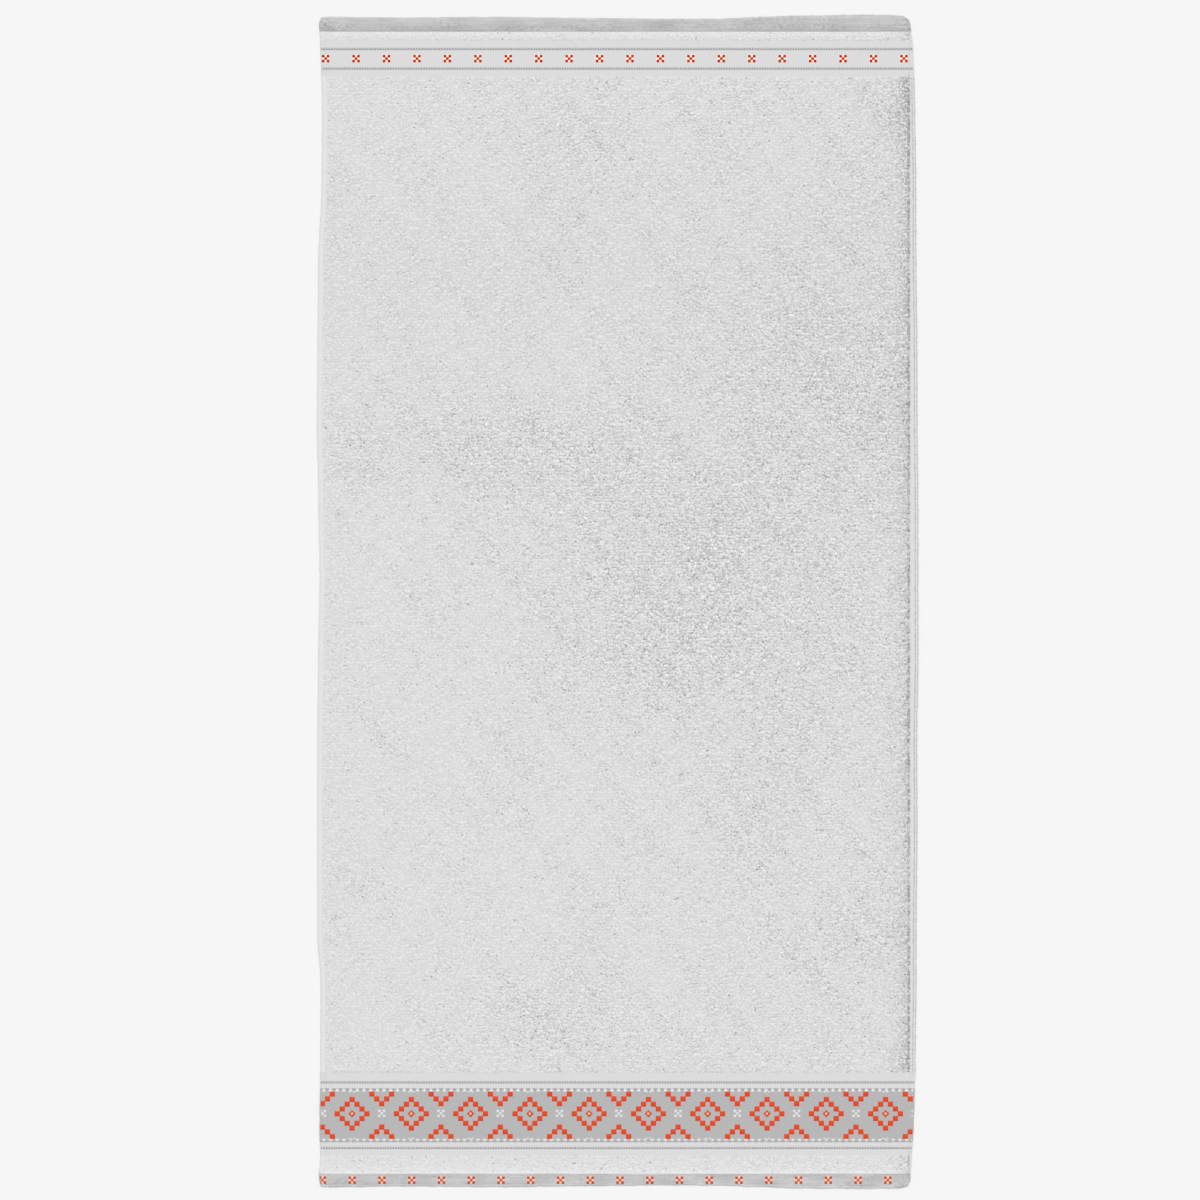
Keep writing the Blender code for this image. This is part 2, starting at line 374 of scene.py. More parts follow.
def underside_rim(rim):
    """The rim of the flat underside: the face's rim brought down to the floor and a little inwards."""
    run = np.roll(rim, -1, axis=0) - np.roll(rim, 1, axis=0)
    run = run[:, :2] / np.linalg.norm(run[:, :2], axis=1)[:, None]
    under = np.zeros_like(rim)
    under[:, 0] = rim[:, 0] - run[:, 1] * UNDERSIDE_INSET
    under[:, 1] = rim[:, 1] + run[:, 0] * UNDERSIDE_INSET
    return under


def underside_faces(first, straight, columns):
    """Faces between the points of the underside's rim: one below each end hem, one below each row."""
    rows = len(straight)
    count = 2 * (rows + columns) - 4
    right = [first + columns - 1 + step for step in range(rows)]
    left = [first + (count - step) % count for step in range(rows)]
    foot = [first + index for index in range(columns - 2, 0, -1)]
    head = [first + index for index in range(2 * columns + rows - 4, columns + rows - 2, -1)]
    start = int(np.searchsorted(straight, LOWER_HEM_LINE))
    end = int(np.searchsorted(straight, UPPER_HEM_LINE))
    faces = [left[:start + 1] + right[start::-1] + foot]
    for step in range(start, end):
        faces.append([left[step], left[step + 1], right[step + 1], right[step]])
    faces.append(left[end:] + head + right[:end - 1:-1])
    return faces


def mesh_points(mesh):
    """The points of a mesh, one a row."""
    points = np.zeros(len(mesh.vertices) * 3)
    mesh.vertices.foreach_get("co", points)
    return points.reshape(-1, 3)


def face_corners(mesh):
    """The number of the point at each corner of a mesh's faces."""
    corners = np.zeros(len(mesh.loops), np.int64)
    mesh.loops.foreach_get("vertex_index", corners)
    return corners


def edge_ends(mesh):
    """The numbers of the two points of each edge."""
    ends = np.zeros(len(mesh.edges) * 2, np.int64)
    mesh.edges.foreach_get("vertices", ends)
    return ends.reshape(-1, 2)


def cloth_mesh():
    """The cloth as one closed mesh: a face that follows every fold, and a flat underside."""
    straight = row_places()
    across = np.array([row_across(along) for along in straight])
    along = np.repeat(straight[:, None], across.shape[1], axis=1)
    face = np.stack([across, laid_along(across, along), cloth_height(across, along)], axis=2)
    rows, columns = face.shape[:2]
    face = face.reshape(-1, 3)
    number = np.arange(len(face)).reshape(rows, columns)
    faces = np.stack([number[:-1, :-1], number[:-1, 1:], number[1:, 1:], number[1:, :-1]], axis=2)
    faces = faces.reshape(-1, 4).tolist()
    rim = np.concatenate([number[0, :], number[1:-1, -1], number[-1, ::-1], number[-2:0:-1, 0]])
    under = len(face) + np.arange(len(rim))
    faces += np.stack([rim, under, np.roll(under, -1), np.roll(rim, -1)], axis=1).tolist()
    faces += underside_faces(len(face), straight, columns)
    mesh = bpy.data.meshes.new("towel_cloth")
    mesh.from_pydata(np.concatenate([face, underside_rim(face[rim])]).tolist(), [], faces)
    mesh.shade_smooth()
    # Both rims are sharp: an edge is on one of them where its ends are neighbours in its order
    order = np.full(len(mesh.vertices), -2 * len(rim))
    order[rim] = order[under] = np.arange(len(rim))
    ends = edge_ends(mesh)
    apart = np.abs(order[ends[:, 0]] - order[ends[:, 1]])
    level = (ends[:, 0] < len(face)) == (ends[:, 1] < len(face))
    mesh.edges.foreach_set("use_edge_sharp", level & ((apart == 1) | (apart == len(rim) - 1)))
    return mesh


# How the cloth is unrolled for its bake: the half sizes that it stays within, and the share of the
# bake's height given to each stretch of the face, so that the figured borders are sharp
HALF_WIDTH = 0.3605
HALF_LENGTH = 0.7020
BAKE_STRETCHES = (
    # along, place in the bake
    (-HALF_LENGTH, 0.000),
    (LOWER_STRIP_LINE - STEP_SOFTNESS, 0.060),
    (BODY_FOOT_LINE + STEP_SOFTNESS, 0.330),
    (BODY_TOP_LINE - STEP_SOFTNESS, 0.560),
    (UPPER_STRIP_LINE + STEP_SOFTNESS, 0.690),
    (HALF_LENGTH, 0.760),
)
UNDERSIDE_BAKE_START = 0.770
FACES_DOWN = -0.2


def store_layout(mesh, name, layout):
    """Keeps a place in a unit square for each corner of a mesh's faces."""
    mesh.uv_layers.new(name=name).data.foreach_set("uv", layout.ravel())


def store_values(mesh, name, values):
    """Keeps a number for each point of a mesh."""
    mesh.attributes.new(name, "FLOAT", "POINT").data.foreach_set("value", values)


def lay_out_bake(mesh):
    """Unrolls the cloth into the square that its finish is baked in."""
    across, along, _ = mesh_points(mesh)[face_corners(mesh)].T
    normals = np.zeros(len(mesh.polygons) * 3)
    mesh.polygons.foreach_get("normal", normals)
    totals = np.zeros(len(mesh.polygons), np.int64)
    mesh.polygons.foreach_get("loop_total", totals)
    below = np.repeat(normals.reshape(-1, 3)[:, 2] < FACES_DOWN, totals)
    share = (along + HALF_LENGTH) / (2.0 * HALF_LENGTH)
    lower = UNDERSIDE_BAKE_START + share * (1.0 - UNDERSIDE_BAKE_START)
    upper = value_at(BAKE_STRETCHES, along)
    layout = np.stack([across / (2.0 * HALF_WIDTH) + 0.5, np.where(below, lower, upper)], axis=1)
    store_layout(mesh, "OFBake", layout)


def store_fold_places(mesh):
    """Keeps how far each point lies from the nearer side fold and end fold, for the hems' colours."""
    across, along, _ = mesh_points(mesh).T
    from_side = np.where(across < 0.0, across - left_fold(along), right_fold(along) - across)
    store_values(mesh, "from_side", from_side)
    straight = straight_along(across, along)
    store_values(mesh, "from_end", np.minimum(UPPER_FOLD - straight, straight - LOWER_FOLD))


class Value:
    """A number or colour on a surface. Arithmetic on it adds Math nodes to its finish."""

    def __init__(self, finish, socket):
        self.finish = finish
        self.socket = socket

    def math(self, operation, *numbers):
        sockets = dict(enumerate(numbers))
        return self.finish.node("ShaderNodeMath", {"operation": operation}, sockets)

    def __add__(self, other):
        return self.math("ADD", self, other)

    def __radd__(self, other):
        return self.math("ADD", other, self)

    def __sub__(self, other):
        return self.math("SUBTRACT", self, other)

    def __rsub__(self, other):
        return self.math("SUBTRACT", other, self)

    def __mul__(self, other):
        return self.math("MULTIPLY", self, other)

    def __rmul__(self, other):
        return self.math("MULTIPLY", other, self)

    def __abs__(self):
        return self.math("ABSOLUTE", self)

    def at_least(self, other):
        return self.math("MAXIMUM", self, other)

    def sine(self):
        return self.math("SINE", self)

    def eased(self, low, high, start=0.0, end=1.0):
        """Start below low and end above high, with a smooth step between them."""
        sockets = {"Value": self, "From Min": low, "From Max": high, "To Min": start, "To Max": end}
        return self.finish.node("ShaderNodeMapRange", {"interpolation_type": "SMOOTHSTEP"}, sockets)


class Finish:
    """A material under construction, with its Principled shader."""

    def __init__(self, name, roughness, **constants):
        self.material = bpy.data.materials.new(name)
        self.material.use_nodes = True
        self.tree = self.material.node_tree
        self.shader = self.tree.nodes["Principled BSDF"]
        self.shader.inputs["Roughness"].default_value = roughness
        for socket, value in constants.items():
            self.shader.inputs[socket.replace("_", " ")].default_value = value

    def node(self, kind, settings, sockets, output=0):
        """Adds a node with its settings, then its sockets' values or links. Returns one output."""
        node = self.tree.nodes.new(kind)
        for name, value in settings.items():
            setattr(node, name, value)
        for key, value in sockets.items():
            if isinstance(value, Value):
                self.tree.links.new(value.socket, node.inputs[key])
            else:
                node.inputs[key].default_value = value
        return Value(self, node.outputs[output])

    def place(self):
        """The place of a point on the object, in metres."""
        return self.node("ShaderNodeTexCoord", {}, {}, "Object")

    def part(self, point, axis):
        """One of the three parts of a point: X, Y or Z."""
        return self.node("ShaderNodeSeparateXYZ", {}, {"Vector": point}, axis)

    def stored(self, name, output="Fac"):
        """What the mesh keeps under a name: a number, or with output Color a colour."""
        return self.node("ShaderNodeAttribute", {"attribute_name": name}, {}, output)

    def noise(self, point, swells, detail):
        """Soft noise from 0 to 1, with its own number of swells along each axis."""
        stretched = self.node("ShaderNodeVectorMath", {"operation": "MULTIPLY"}, {0: point, 1: swells})
        sockets = {"Vector": stretched, "Scale": 1.0, "Detail": detail}
        return self.node("ShaderNodeTexNoise", {}, sockets)

    def mix(self, share, first, second):
        """One colour, going over to another as the share goes from 0 to 1."""
        return self.node("ShaderNodeMix", {"data_type": "RGBA"}, {0: share, 6: first, 7: second}, 2)

    def tint(self, colour, value):
        """A colour times a value."""
        scaled = self.node("ShaderNodeCombineXYZ", {}, {"X": value, "Y": value, "Z": value})
        settings = {"data_type": "RGBA", "blend_type": "MULTIPLY"}
        return self.node("ShaderNodeMix", settings, {0: 1.0, 6: colour, 7: scaled}, 2)

    def paint(self, socket, value):
        """Feeds one of the shader's sockets."""
        self.tree.links.new(value.socket, self.shader.inputs[socket])

    def relief(self, height, distance):
        """Bumps from a height between 0 and 1 that stands for a distance in metres."""
        self.paint("Normal", self.node("ShaderNodeBump", {}, {"Height": height, "Distance": distance}))


# Colours of the cloth's weaves, and the painted shade of the ditch beside the right hem
FLAT_WEAVE = (0.626, 0.626, 0.626, 1.0)
TERRY_GROUND = (0.700, 0.700, 0.700, 1.0)
GREY_BAND = (0.415, 0.411, 0.413, 1.0)
END_HEM_CLOTH = (0.492, 0.492, 0.492, 1.0)
# The two side hems are one cloth, painted in two greys: the left lighter and the right darker, as painted
# light and shade of the two edges
LEFT_HEM_PAINTED_LIGHTER = (0.680, 0.680, 0.680, 1.0)
RIGHT_HEM_PAINTED_DARKER = (0.650, 0.650, 0.650, 1.0)
DITCH_SHADE = (0.235, 0.235, 0.235, 1.0)

# Where one colour goes over to the next, from start to end: across the towel, along it, or from the
# nearer side fold
LEFT_TO_RIGHT = (-0.02, 0.02)
LEFT_HEM_FADE = (0.0030, 0.0070)
RIGHT_HEM_START = (0.3474, 0.3486)
# Where the painted shade of the ditch, of the gap between the right hem's layers and of the right fold's
# edge starts and ends
DITCH_START = (0.3430, 0.3452)
DITCH_FADE = (0.3470, 0.3484)
LOWER_LAYER_FADE = (0.0010, 0.0020)
LAYERS_START = (0.0026, 0.0034)
LAYERS_FADE = (0.0042, 0.0052)
CORNER_FADE = (0.0060, 0.0340)
UPPER_SEAM_START = (0.6795, 0.6810)
UPPER_SEAM_FADE = (0.6850, 0.6880)
# Painted light along the lower fold, which turns away from the sun: how far it reaches in from the fold, and
# where it starts, away from the right side fold
LOWER_FOLD_LIGHT_FADE = (0.0000, 0.0036)
LOWER_FOLD_LIGHT_START = (0.0060, 0.0200)
# The end hems are painted darker by their seams, as the seams' shade, and a little lighter towards the folds
END_SEAM_FADE = (0.6800, 0.6880)
END_SEAM_SHADE = (0.95, 1.02)

# How strong the end hems' mottling is by its cause, in patches and as painted shade by the corners and the
# upper seam, and how strong the other shades are
MOTTLING_IN_PATCHES = 0.60
CORNER_PAINTED_SHADE = 0.55
UPPER_SEAM_PAINTED_SHADE = 0.45
MOTTLING_AT_LEAST = 0.12
# Strength of the painted light along the lower fold
LOWER_FOLD_PAINTED_LIGHT = 0.60
UPPER_HEM_DULLING = 0.03
DITCH_IN_STRIPS = 0.30

# Uneven shades of the cloth, as noise
UNEVEN_SHADES = {
    # swells a metre across, along and upright, detail, ranges of the noise and of the shade
    # Painted shade of the end hems' wrinkles
    "end hem's wrinkle shade": ((28.0, 70.0, 20.0), 4.0, (0.30, 0.70, 0.90, 1.08)),
    "end hem's streaks": ((16.0, 700.0, 0.0), 2.0, (0.30, 0.70, 0.92, 1.06)),
    "end hem's mottling": ((240.0, 330.0, 0.0), 4.0, (0.36, 0.56, 0.80, 1.02)),
    "mottled patches": ((22.0, 60.0, 0.0), 1.0, (0.40, 0.62, 0.00, 1.00)),
    # Spots of painted shade in the ditch and between the right hem's layers
    "spots of the ditch's painted shade": ((160.0, 380.0, 0.0), 1.0, (0.40, 0.58, 0.15, 1.00)),
    "spots of painted shade between the layers": ((160.0, 380.0, 0.0), 1.0, (0.35, 0.65, 0.14, 0.52)),
    "fibres": ((900.0, 700.0, 700.0), 2.0, (0.25, 0.75, 0.965, 1.03)),
}

# The grey band of the lower border, how soft the bands' edges are, and the weave's ribs
GREY_BAND_TOP = -0.5793
GREY_BAND_FOOT = -0.6432
BAND_SOFTNESS = 0.0004
RIB_SPACING = 0.0011
RIB_TURN = 2.0 * math.pi / RIB_SPACING
WEAVE_DEPTH = 0.00012


def shaded(finish, place, name):
    """One of the cloth's uneven shades."""
    swells, detail, ranges = UNEVEN_SHADES[name]
    return finish.noise(place, swells, detail).eased(*ranges)


def hem_tint(finish, place, along, from_side, from_end, upper_hem, lower_hem):
    """Shade of the end hems: streaked, mottled in patches, painted shade in the wrinkles, by the corners and
    by the seams, and painted light along the lower fold.
    """
    patches = shaded(finish, place, "mottled patches")
    # Painted shade: the mottling darkens more by the corners and by the upper seam
    near_corner = 1.0 - from_side.eased(*CORNER_FADE)
    near_seam = along.eased(*UPPER_SEAM_START) * (1.0 - along.eased(*UPPER_SEAM_FADE))
    strength = patches * MOTTLING_IN_PATCHES + near_corner * CORNER_PAINTED_SHADE
    strength = strength + near_seam * UPPER_SEAM_PAINTED_SHADE + MOTTLING_AT_LEAST
    mottled = 1.0 - (1.0 - shaded(finish, place, "end hem's mottling")) * strength
    on_left = 1.0 - finish.part(place, "X").eased(*LEFT_TO_RIGHT)
    # Painted light along the lower fold, left out by the right corner
    painted_fold_light = (1.0 - from_end.eased(*LOWER_FOLD_LIGHT_FADE)) * from_side.eased(*LOWER_FOLD_LIGHT_START).at_least(on_left)
    # Painted shade of the wrinkles, and painted shade by the seams
    tint = shaded(finish, place, "end hem's wrinkle shade") * shaded(finish, place, "end hem's streaks")
    tint = tint * mottled * abs(along).eased(*END_SEAM_FADE, *END_SEAM_SHADE)
    return tint * (1.0 + painted_fold_light * lower_hem * LOWER_FOLD_PAINTED_LIGHT) * (1.0 - upper_hem * UPPER_HEM_DULLING)


def ditch_painted_shade(finish, place, across, from_side, body, strips):
    """Where shade is painted: in spots along the stitch ditch, between the right hem's layers and along the
    right fold.
    """
    ditch = across.eased(*DITCH_START) * (1.0 - across.eased(*DITCH_FADE))
    ditch = ditch * (body + strips * DITCH_IN_STRIPS) * shaded(finish, place, "spots of the ditch's painted shade")
    layers = from_side.eased(*LAYERS_START) * (1.0 - from_side.eased(*LAYERS_FADE))
    layers = (layers + (1.0 - from_side.eased(*LOWER_LAYER_FADE))) * across.eased(*LEFT_TO_RIGHT) * body
    return ditch.at_least(layers * shaded(finish, place, "spots of painted shade between the layers"))


def cloth_finish():
    """Plain-woven cotton, coloured by bands, with ribs, mottled hems and a stitch ditch, with painted light
    and shade on the hems and painted shade in the ditch.
    """
    finish = Finish("woven_cotton", 0.92, Sheen_Weight=0.15, Sheen_Roughness=0.6)
    place = finish.place()
    across = finish.part(place, "X")
    along = finish.part(place, "Y")
    from_side = finish.stored("from_side")

    def between(low, high, soft=BAND_SOFTNESS):
        rising = along.eased(low - soft, low + soft)
        return rising * (1.0 - along.eased(high - soft, high + soft))

    body = between(BODY_FOOT_LINE, BODY_TOP_LINE)
    strips = between(LOWER_HEM_LINE, LOWER_STRIP_LINE) + between(UPPER_STRIP_LINE, UPPER_HEM_LINE)
    terry = body + strips
    left_hem = (1.0 - across.eased(*LEFT_TO_RIGHT)) * (1.0 - from_side.eased(*LEFT_HEM_FADE))
    upper_hem = along.eased(UPPER_HEM_LINE - BAND_SOFTNESS, UPPER_HEM_LINE + BAND_SOFTNESS)
    lower_hem = 1.0 - along.eased(LOWER_HEM_LINE - BAND_SOFTNESS, LOWER_HEM_LINE + BAND_SOFTNESS)
    hem = hem_tint(finish, place, along, from_side, finish.stored("from_end"), upper_hem, lower_hem)
    ditch = ditch_painted_shade(finish, place, across, from_side, body, strips)
    colour = finish.mix(terry, FLAT_WEAVE, TERRY_GROUND)
    # Painted light on the left hem and painted shade on the right one
    colour = finish.mix(left_hem * terry, colour, LEFT_HEM_PAINTED_LIGHTER)
    colour = finish.mix(across.eased(*RIGHT_HEM_START) * terry, colour, RIGHT_HEM_PAINTED_DARKER)
    colour = finish.mix(between(GREY_BAND_FOOT, GREY_BAND_TOP, 0.5 * BAND_SOFTNESS), colour, GREY_BAND)
    colour = finish.mix(upper_hem + lower_hem, colour, finish.tint(END_HEM_CLOTH, hem))
    # Painted shade in the ditch, between the right hem's layers and along the right fold
    colour = finish.mix(ditch, colour, DITCH_SHADE)
    finish.paint("Base Color", finish.tint(colour, shaded(finish, place, "fibres")))
    ribs = (across * RIB_TURN).sine() * (along * RIB_TURN).sine()
    fibres = finish.noise(place, *UNEVEN_SHADES["fibres"][:2])
    finish.relief(ribs * 0.35 + fibres * 0.3 + 0.35, WEAVE_DEPTH)
    return finish.material


bpy.ops.object.select_all(action="DESELECT")
cloth = bpy.data.objects.new("towel_cloth", cloth_mesh())
bpy.context.scene.collection.objects.link(cloth)
lay_out_bake(cloth.data)
store_fold_places(cloth.data)
cloth.data.materials.append(cloth_finish())
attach(cloth, "root")
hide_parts("towel")

# Pile loops.
# The terry's pile yarn stands in short cotton loops that lean with the nap, one beside the next.
# One loop is modelled and copied over the body and the two strips, each turned and sized a little
# differently, and joined into a few meshes.

LOOP_LENGTH = 0.0044
LOOP_WIDTH = 0.0042
LOOP_STAND = 0.0012
LOOP_ROOT = 0.0006
PITCH_ACROSS = 0.0022
BODY_ROWS = 330
BODY_PIECES = 5
LOWER_STRIP_ROWS = 6
UPPER_STRIP_ROWS = 3

# How full and rough the strips' pile is beside the body's, which is 1
STRIP_FULLNESS = 0.6

# Where the loops start and end, and how far each may stray from its place, as shares of the pitch
FROM_LEFT_FOLD = 0.0075
FROM_RIGHT_STITCHES = 0.0010
LAST_FROM_STITCHES = (0.0004, 0.0032)
FROM_LINES = 0.0012
DISORDER_ACROSS = 0.40
DISORDER_ALONG = 0.42

# Least and most of a loop's length, width, height and lift, as shares, and what a stray loop has
LENGTHS = (0.80, 1.25)
WIDTHS = (0.82, 1.20)
STANDS = (0.6, 1.4)
LIFT = 0.0005
CLUMP_LIFT = 0.00012
STRAY_LENGTH = 0.8
STRAY_WIDTH = 0.6
STRAY_LIFT = 0.9

# Tones go from the deep grey at 0 to the pale one at 1
PILE_DEEP = (0.300, 0.300, 0.300, 1.0)
PILE_PALE = (0.900, 0.900, 0.900, 1.0)


def pile_loop():
    """One loop: a low tuft of yarn, widest at its middle and drawn down to a tip at both ends."""
    bpy.ops.mesh.primitive_cone_add(
        vertices=3, radius1=1.0, depth=2.0, end_fill_type="TRIFAN", rotation=(0.0, math.pi / 2.0, 0.0)
    )
    loop = bpy.context.active_object
    bpy.ops.object.transform_apply(location=False, rotation=True, scale=False)
    ridge = max(vertex.co.z for vertex in loop.data.vertices)
    for vertex in loop.data.vertices:
        end = math.copysign(1.0, vertex.co.x)
        if vertex.co.yz.length < 0.1:
            vertex.co = (end * 0.50 * LOOP_LENGTH, 0.08 * LOOP_WIDTH, -LOOP_ROOT)
        elif vertex.co.z > ridge - 0.1:
            vertex.co = (0.05 * LOOP_LENGTH, 0.0, LOOP_STAND)
        else:
            side = math.copysign(0.5, vertex.co.y)
            vertex.co = (-0.04 * LOOP_LENGTH, side * LOOP_WIDTH, -LOOP_ROOT)
    loop.data.shade_smooth()
    for edge in loop.data.edges:
        edge.use_edge_sharp = max(loop.data.vertices[end].co.z for end in edge.vertices) < 0.0
    return loop


def joined_copies(name, model, places, turns, sizes):
    """One smooth mesh of many copies of a model, each sized, turned about the upright and moved."""
    corners = np.array([vertex.co for vertex in model.data.vertices])
    shaped = corners[None, :, :] * sizes[:, None, :]
    cosine = np.cos(turns)[:, None]
    sine = np.sin(turns)[:, None]
    turned = shaped.copy()
    turned[:, :, 0] = shaped[:, :, 0] * cosine - shaped[:, :, 1] * sine
    turned[:, :, 1] = shaped[:, :, 0] * sine + shaped[:, :, 1] * cosine
    points = (turned + places[:, None, :]).reshape(-1, 3)
    model.data.calc_loop_triangles()
    faces = np.array([triangle.vertices for triangle in model.data.loop_triangles])
    sharp = np.zeros((len(corners), len(corners)), bool)
    for edge in model.data.edges:
        first, last = edge.vertices
        sharp[first, last] = sharp[last, first] = edge.use_edge_sharp
    numbers = faces[None, :, :] + (np.arange(len(places)) * len(corners))[:, None, None]
    mesh = bpy.data.meshes.new(name)
    mesh.vertices.add(len(points))
    mesh.vertices.foreach_set("co", points.ravel())
    mesh.loops.add(numbers.size)
    mesh.loops.foreach_set("vertex_index", numbers.ravel())
    mesh.polygons.add(numbers.size // 3)
    mesh.polygons.foreach_set("loop_start", np.arange(numbers.size // 3) * 3)
    mesh.update(calc_edges=True)
    mesh.shade_smooth()
    first, last = (edge_ends(mesh) % len(corners)).T
    mesh.edges.foreach_set("use_edge_sharp", sharp[first, last])
    piece = bpy.data.objects.new(name, mesh)
    bpy.context.scene.collection.objects.link(piece)
    return piece


# Patches where the nap stands rougher, looks darker and shows more of the gaps between loops
NAP_PATCHES = (
    # across, along, half size across, half size along, strength
    (0.100, 0.040, 0.190, 0.150, 0.60),
    (-0.160, 0.185, 0.170, 0.060, 0.52),
    (0.260, 0.270, 0.140, 0.110, 0.46),
    (-0.070, 0.560, 0.060, 0.060, 0.30),
    (-0.070, -0.500, 0.100, 0.050, 0.38),
    (0.060, -0.080, 0.100, 0.050, 0.25),
    (0.280, -0.400, 0.080, 0.030, 0.25),
    (0.180, -0.240, 0.070, 0.120, 0.22),
    (0.330, 0.580, 0.025, 0.040, 0.30),
)
LEFT_ROUGHNESS = 0.05
RIGHT_ROUGHNESS = 0.26
ROUGH_FROM = -0.30
ROUGH_TO = 0.30
PATCH_WAVES = (0.10, (0.05, 0.06, 0.08, 0.11, 0.15, 0.21), 11)
SMALL_PATCH_WAVES = (0.12, (0.018, 0.022, 0.028, 0.035, 0.043), 13)
CLUMP_WAVES = (1.0, np.linspace(0.0054, 0.0078, 32), 14)
LEAN_WAVES = (0.22, (0.05, 0.08, 0.11, 0.15), 12)

# What the nap's roughness changes: the amount where it is smooth, and what full roughness adds
LEAN = (-0.45, -0.15)
TURN_SPREAD = (0.35, 0.40)
STAND_SHARE = (0.15, 0.95)
WIDTH_SHARE = (1.00, 0.40)
STRAY_SHARE = (0.010, 0.080)
OWN_TONE = (0.455, 0.050)
OWN_SPREAD = (0.025, 0.070)
CLUMP_TONE = (0.030, 0.050)
# Painted shade at the loops' roots, and painted light and shade on their two sides
ROOT_PAINTED_SHADE = (0.22, 0.45)
SIDE_PAINTED_LIGHT_AND_SHADE = (0.28, 1.05)
UNEVENNESS = (0.04, 0.18)

# How the loops rise from the lines along the towel and from the left hem
RISE_FROM_LINES = (
    # distance, share of the height
    (0.001225, 0.05),
    (0.005500, 1.00),
)
RISE_FROM_LEFT = (
    # distance, share of the height
    (0.0056, 0.10),
    (0.0155, 1.00),
)

# Towards the upper end the nap leans the other way
LEAN_TURNED = 0.45
LEAN_TURNS_FROM = 0.20
LEAN_TURNS_TO = 0.60

# A wide stretch across the towel looks a little duller, and the loops by the end hems look paler
DULL_MIDDLE = 0.400
DULL_REACH = 0.110
DULL_TONE = 0.05
BY_HEM_TONE = 0.24
BY_HEM_REACH = 0.0055
STRIP_TONE = 0.085

# Tones that a stray loop's is multiplied by, as painted shade of a hole in the pile, share and brightness of
# the pale loops in rough nap, weight of the painted light on the side up the towel and of the painted shade
# on the side down it, and the least tone
STRAY_PAINTED_SHADE = (-0.4, 0.4)
PALE_SHARE = 0.10
PALE_TONE = 0.12
UP_SIDE_PAINTED_LIGHT = 0.7
DOWN_SIDE_PAINTED_SHADE = 1.4
LEAST_TONE = 0.20

# The stitch ditch draws the pile down. How strongly the pile beside it is painted darker, as the ditch's
# shade, and given more dark strays, along the towel
DITCH_REACH = 0.008
DITCH_STRAYS = 0.12
DITCH_PAINTED_SHADE = (0.30, 0.80)
DITCH_SHADE_STRENGTHS = (
    # along, strength
    (-0.560, 1.7),
    (-0.530, 1.4),
    (-0.490, 0.9),
    (0.480, 0.9),
    (0.560, 1.5),
    (0.610, 1.8),
)


def roughness_of_nap(across, along):
    """From 0, where the nap lies smooth and light, to about 1, where it stands up rough."""
    rough = np.interp(across, (ROUGH_FROM, ROUGH_TO), (LEFT_ROUGHNESS, RIGHT_ROUGHNESS))
    for patch_across, patch_along, half_across, half_along, strength in NAP_PATCHES:
        over = (across - patch_across) / half_across
        down = (along - patch_along) / half_along
        rough = rough + strength * np.exp(-over * over - down * down)
    rough = rough + waves([across, along], *PATCH_WAVES) + waves([across, along], *SMALL_PATCH_WAVES)
    return np.clip(rough, 0.0, 1.2)


def by_nap(amounts, rough):
    """An amount between that of smooth nap and that of rough nap."""
    smooth, added = amounts
    return smooth + added * rough


def loop_places(rows, low, high, pitch, chance):
    """Where the loops of some rows stand, in brick order with some disorder."""
    across = []
    along = []
    for row in rows:
        offset = 0.5 * PITCH_ACROSS * (round((row - low) / pitch - 0.5) % 2)
        start = left_fold(row) + FROM_LEFT_FOLD + offset
        line = np.arange(start, right_stitches(row) - FROM_RIGHT_STITCHES, PITCH_ACROSS)
        line = line + chance.uniform(-DISORDER_ACROSS, DISORDER_ACROSS, len(line)) * PITCH_ACROSS
        line[-1] = right_stitches(row) - chance.uniform(*LAST_FROM_STITCHES)
        across.append(line)
        along.append(row + chance.uniform(-DISORDER_ALONG, DISORDER_ALONG, len(line)) * pitch)
    return np.concatenate(across), np.clip(np.concatenate(along), low + FROM_LINES, high - FROM_LINES)


def loop_turns(across, along, rough, chance):
    """Which way the loops lie: with the nap's lean, more or less, and either end first."""
    turned = np.clip((along - LEAN_TURNS_FROM) / (LEAN_TURNS_TO - LEAN_TURNS_FROM), 0.0, 1.0)
    lean = by_nap(LEAN, rough) + LEAN_TURNED * turned + waves([across, along], *LEAN_WAVES)
    turns = lean + chance.normal(0.0, 1.0, len(across)) * by_nap(TURN_SPREAD, rough)
    return turns + math.pi * chance.integers(0, 2, len(across))


def own_tones(along, rough, fullness, clump, shaded_stray, pile_ditch_shade, chance):
    """Tone of each loop as a whole. A stray one is painted deep, as the shade of a hole in the pile, a few
    in rough nap are pale, and those by the stitch ditch are painted darker, as its shade.
    """
    count = len(along)
    from_hem = np.minimum(np.abs(along - UPPER_HEM_LINE), np.abs(along - LOWER_HEM_LINE))
    own = by_nap(OWN_TONE, rough) + STRIP_TONE * (1.0 - fullness)
    own = own + chance.normal(0.0, 1.0, count) * by_nap(OWN_SPREAD, rough)
    own = own + clump * by_nap(CLUMP_TONE, rough)
    own = own - DULL_TONE * np.exp(-((along - DULL_MIDDLE) / DULL_REACH) ** 2)
    own = own * np.where(shaded_stray, chance.uniform(*STRAY_PAINTED_SHADE, count), 1.0)
    own = own + np.where(chance.uniform(0.0, 1.0, count) < PALE_SHARE * rough, PALE_TONE, 0.0)
    own = own + BY_HEM_TONE * np.exp(-from_hem / BY_HEM_REACH)
    return own - pile_ditch_shade * chance.uniform(*DITCH_PAINTED_SHADE, count)


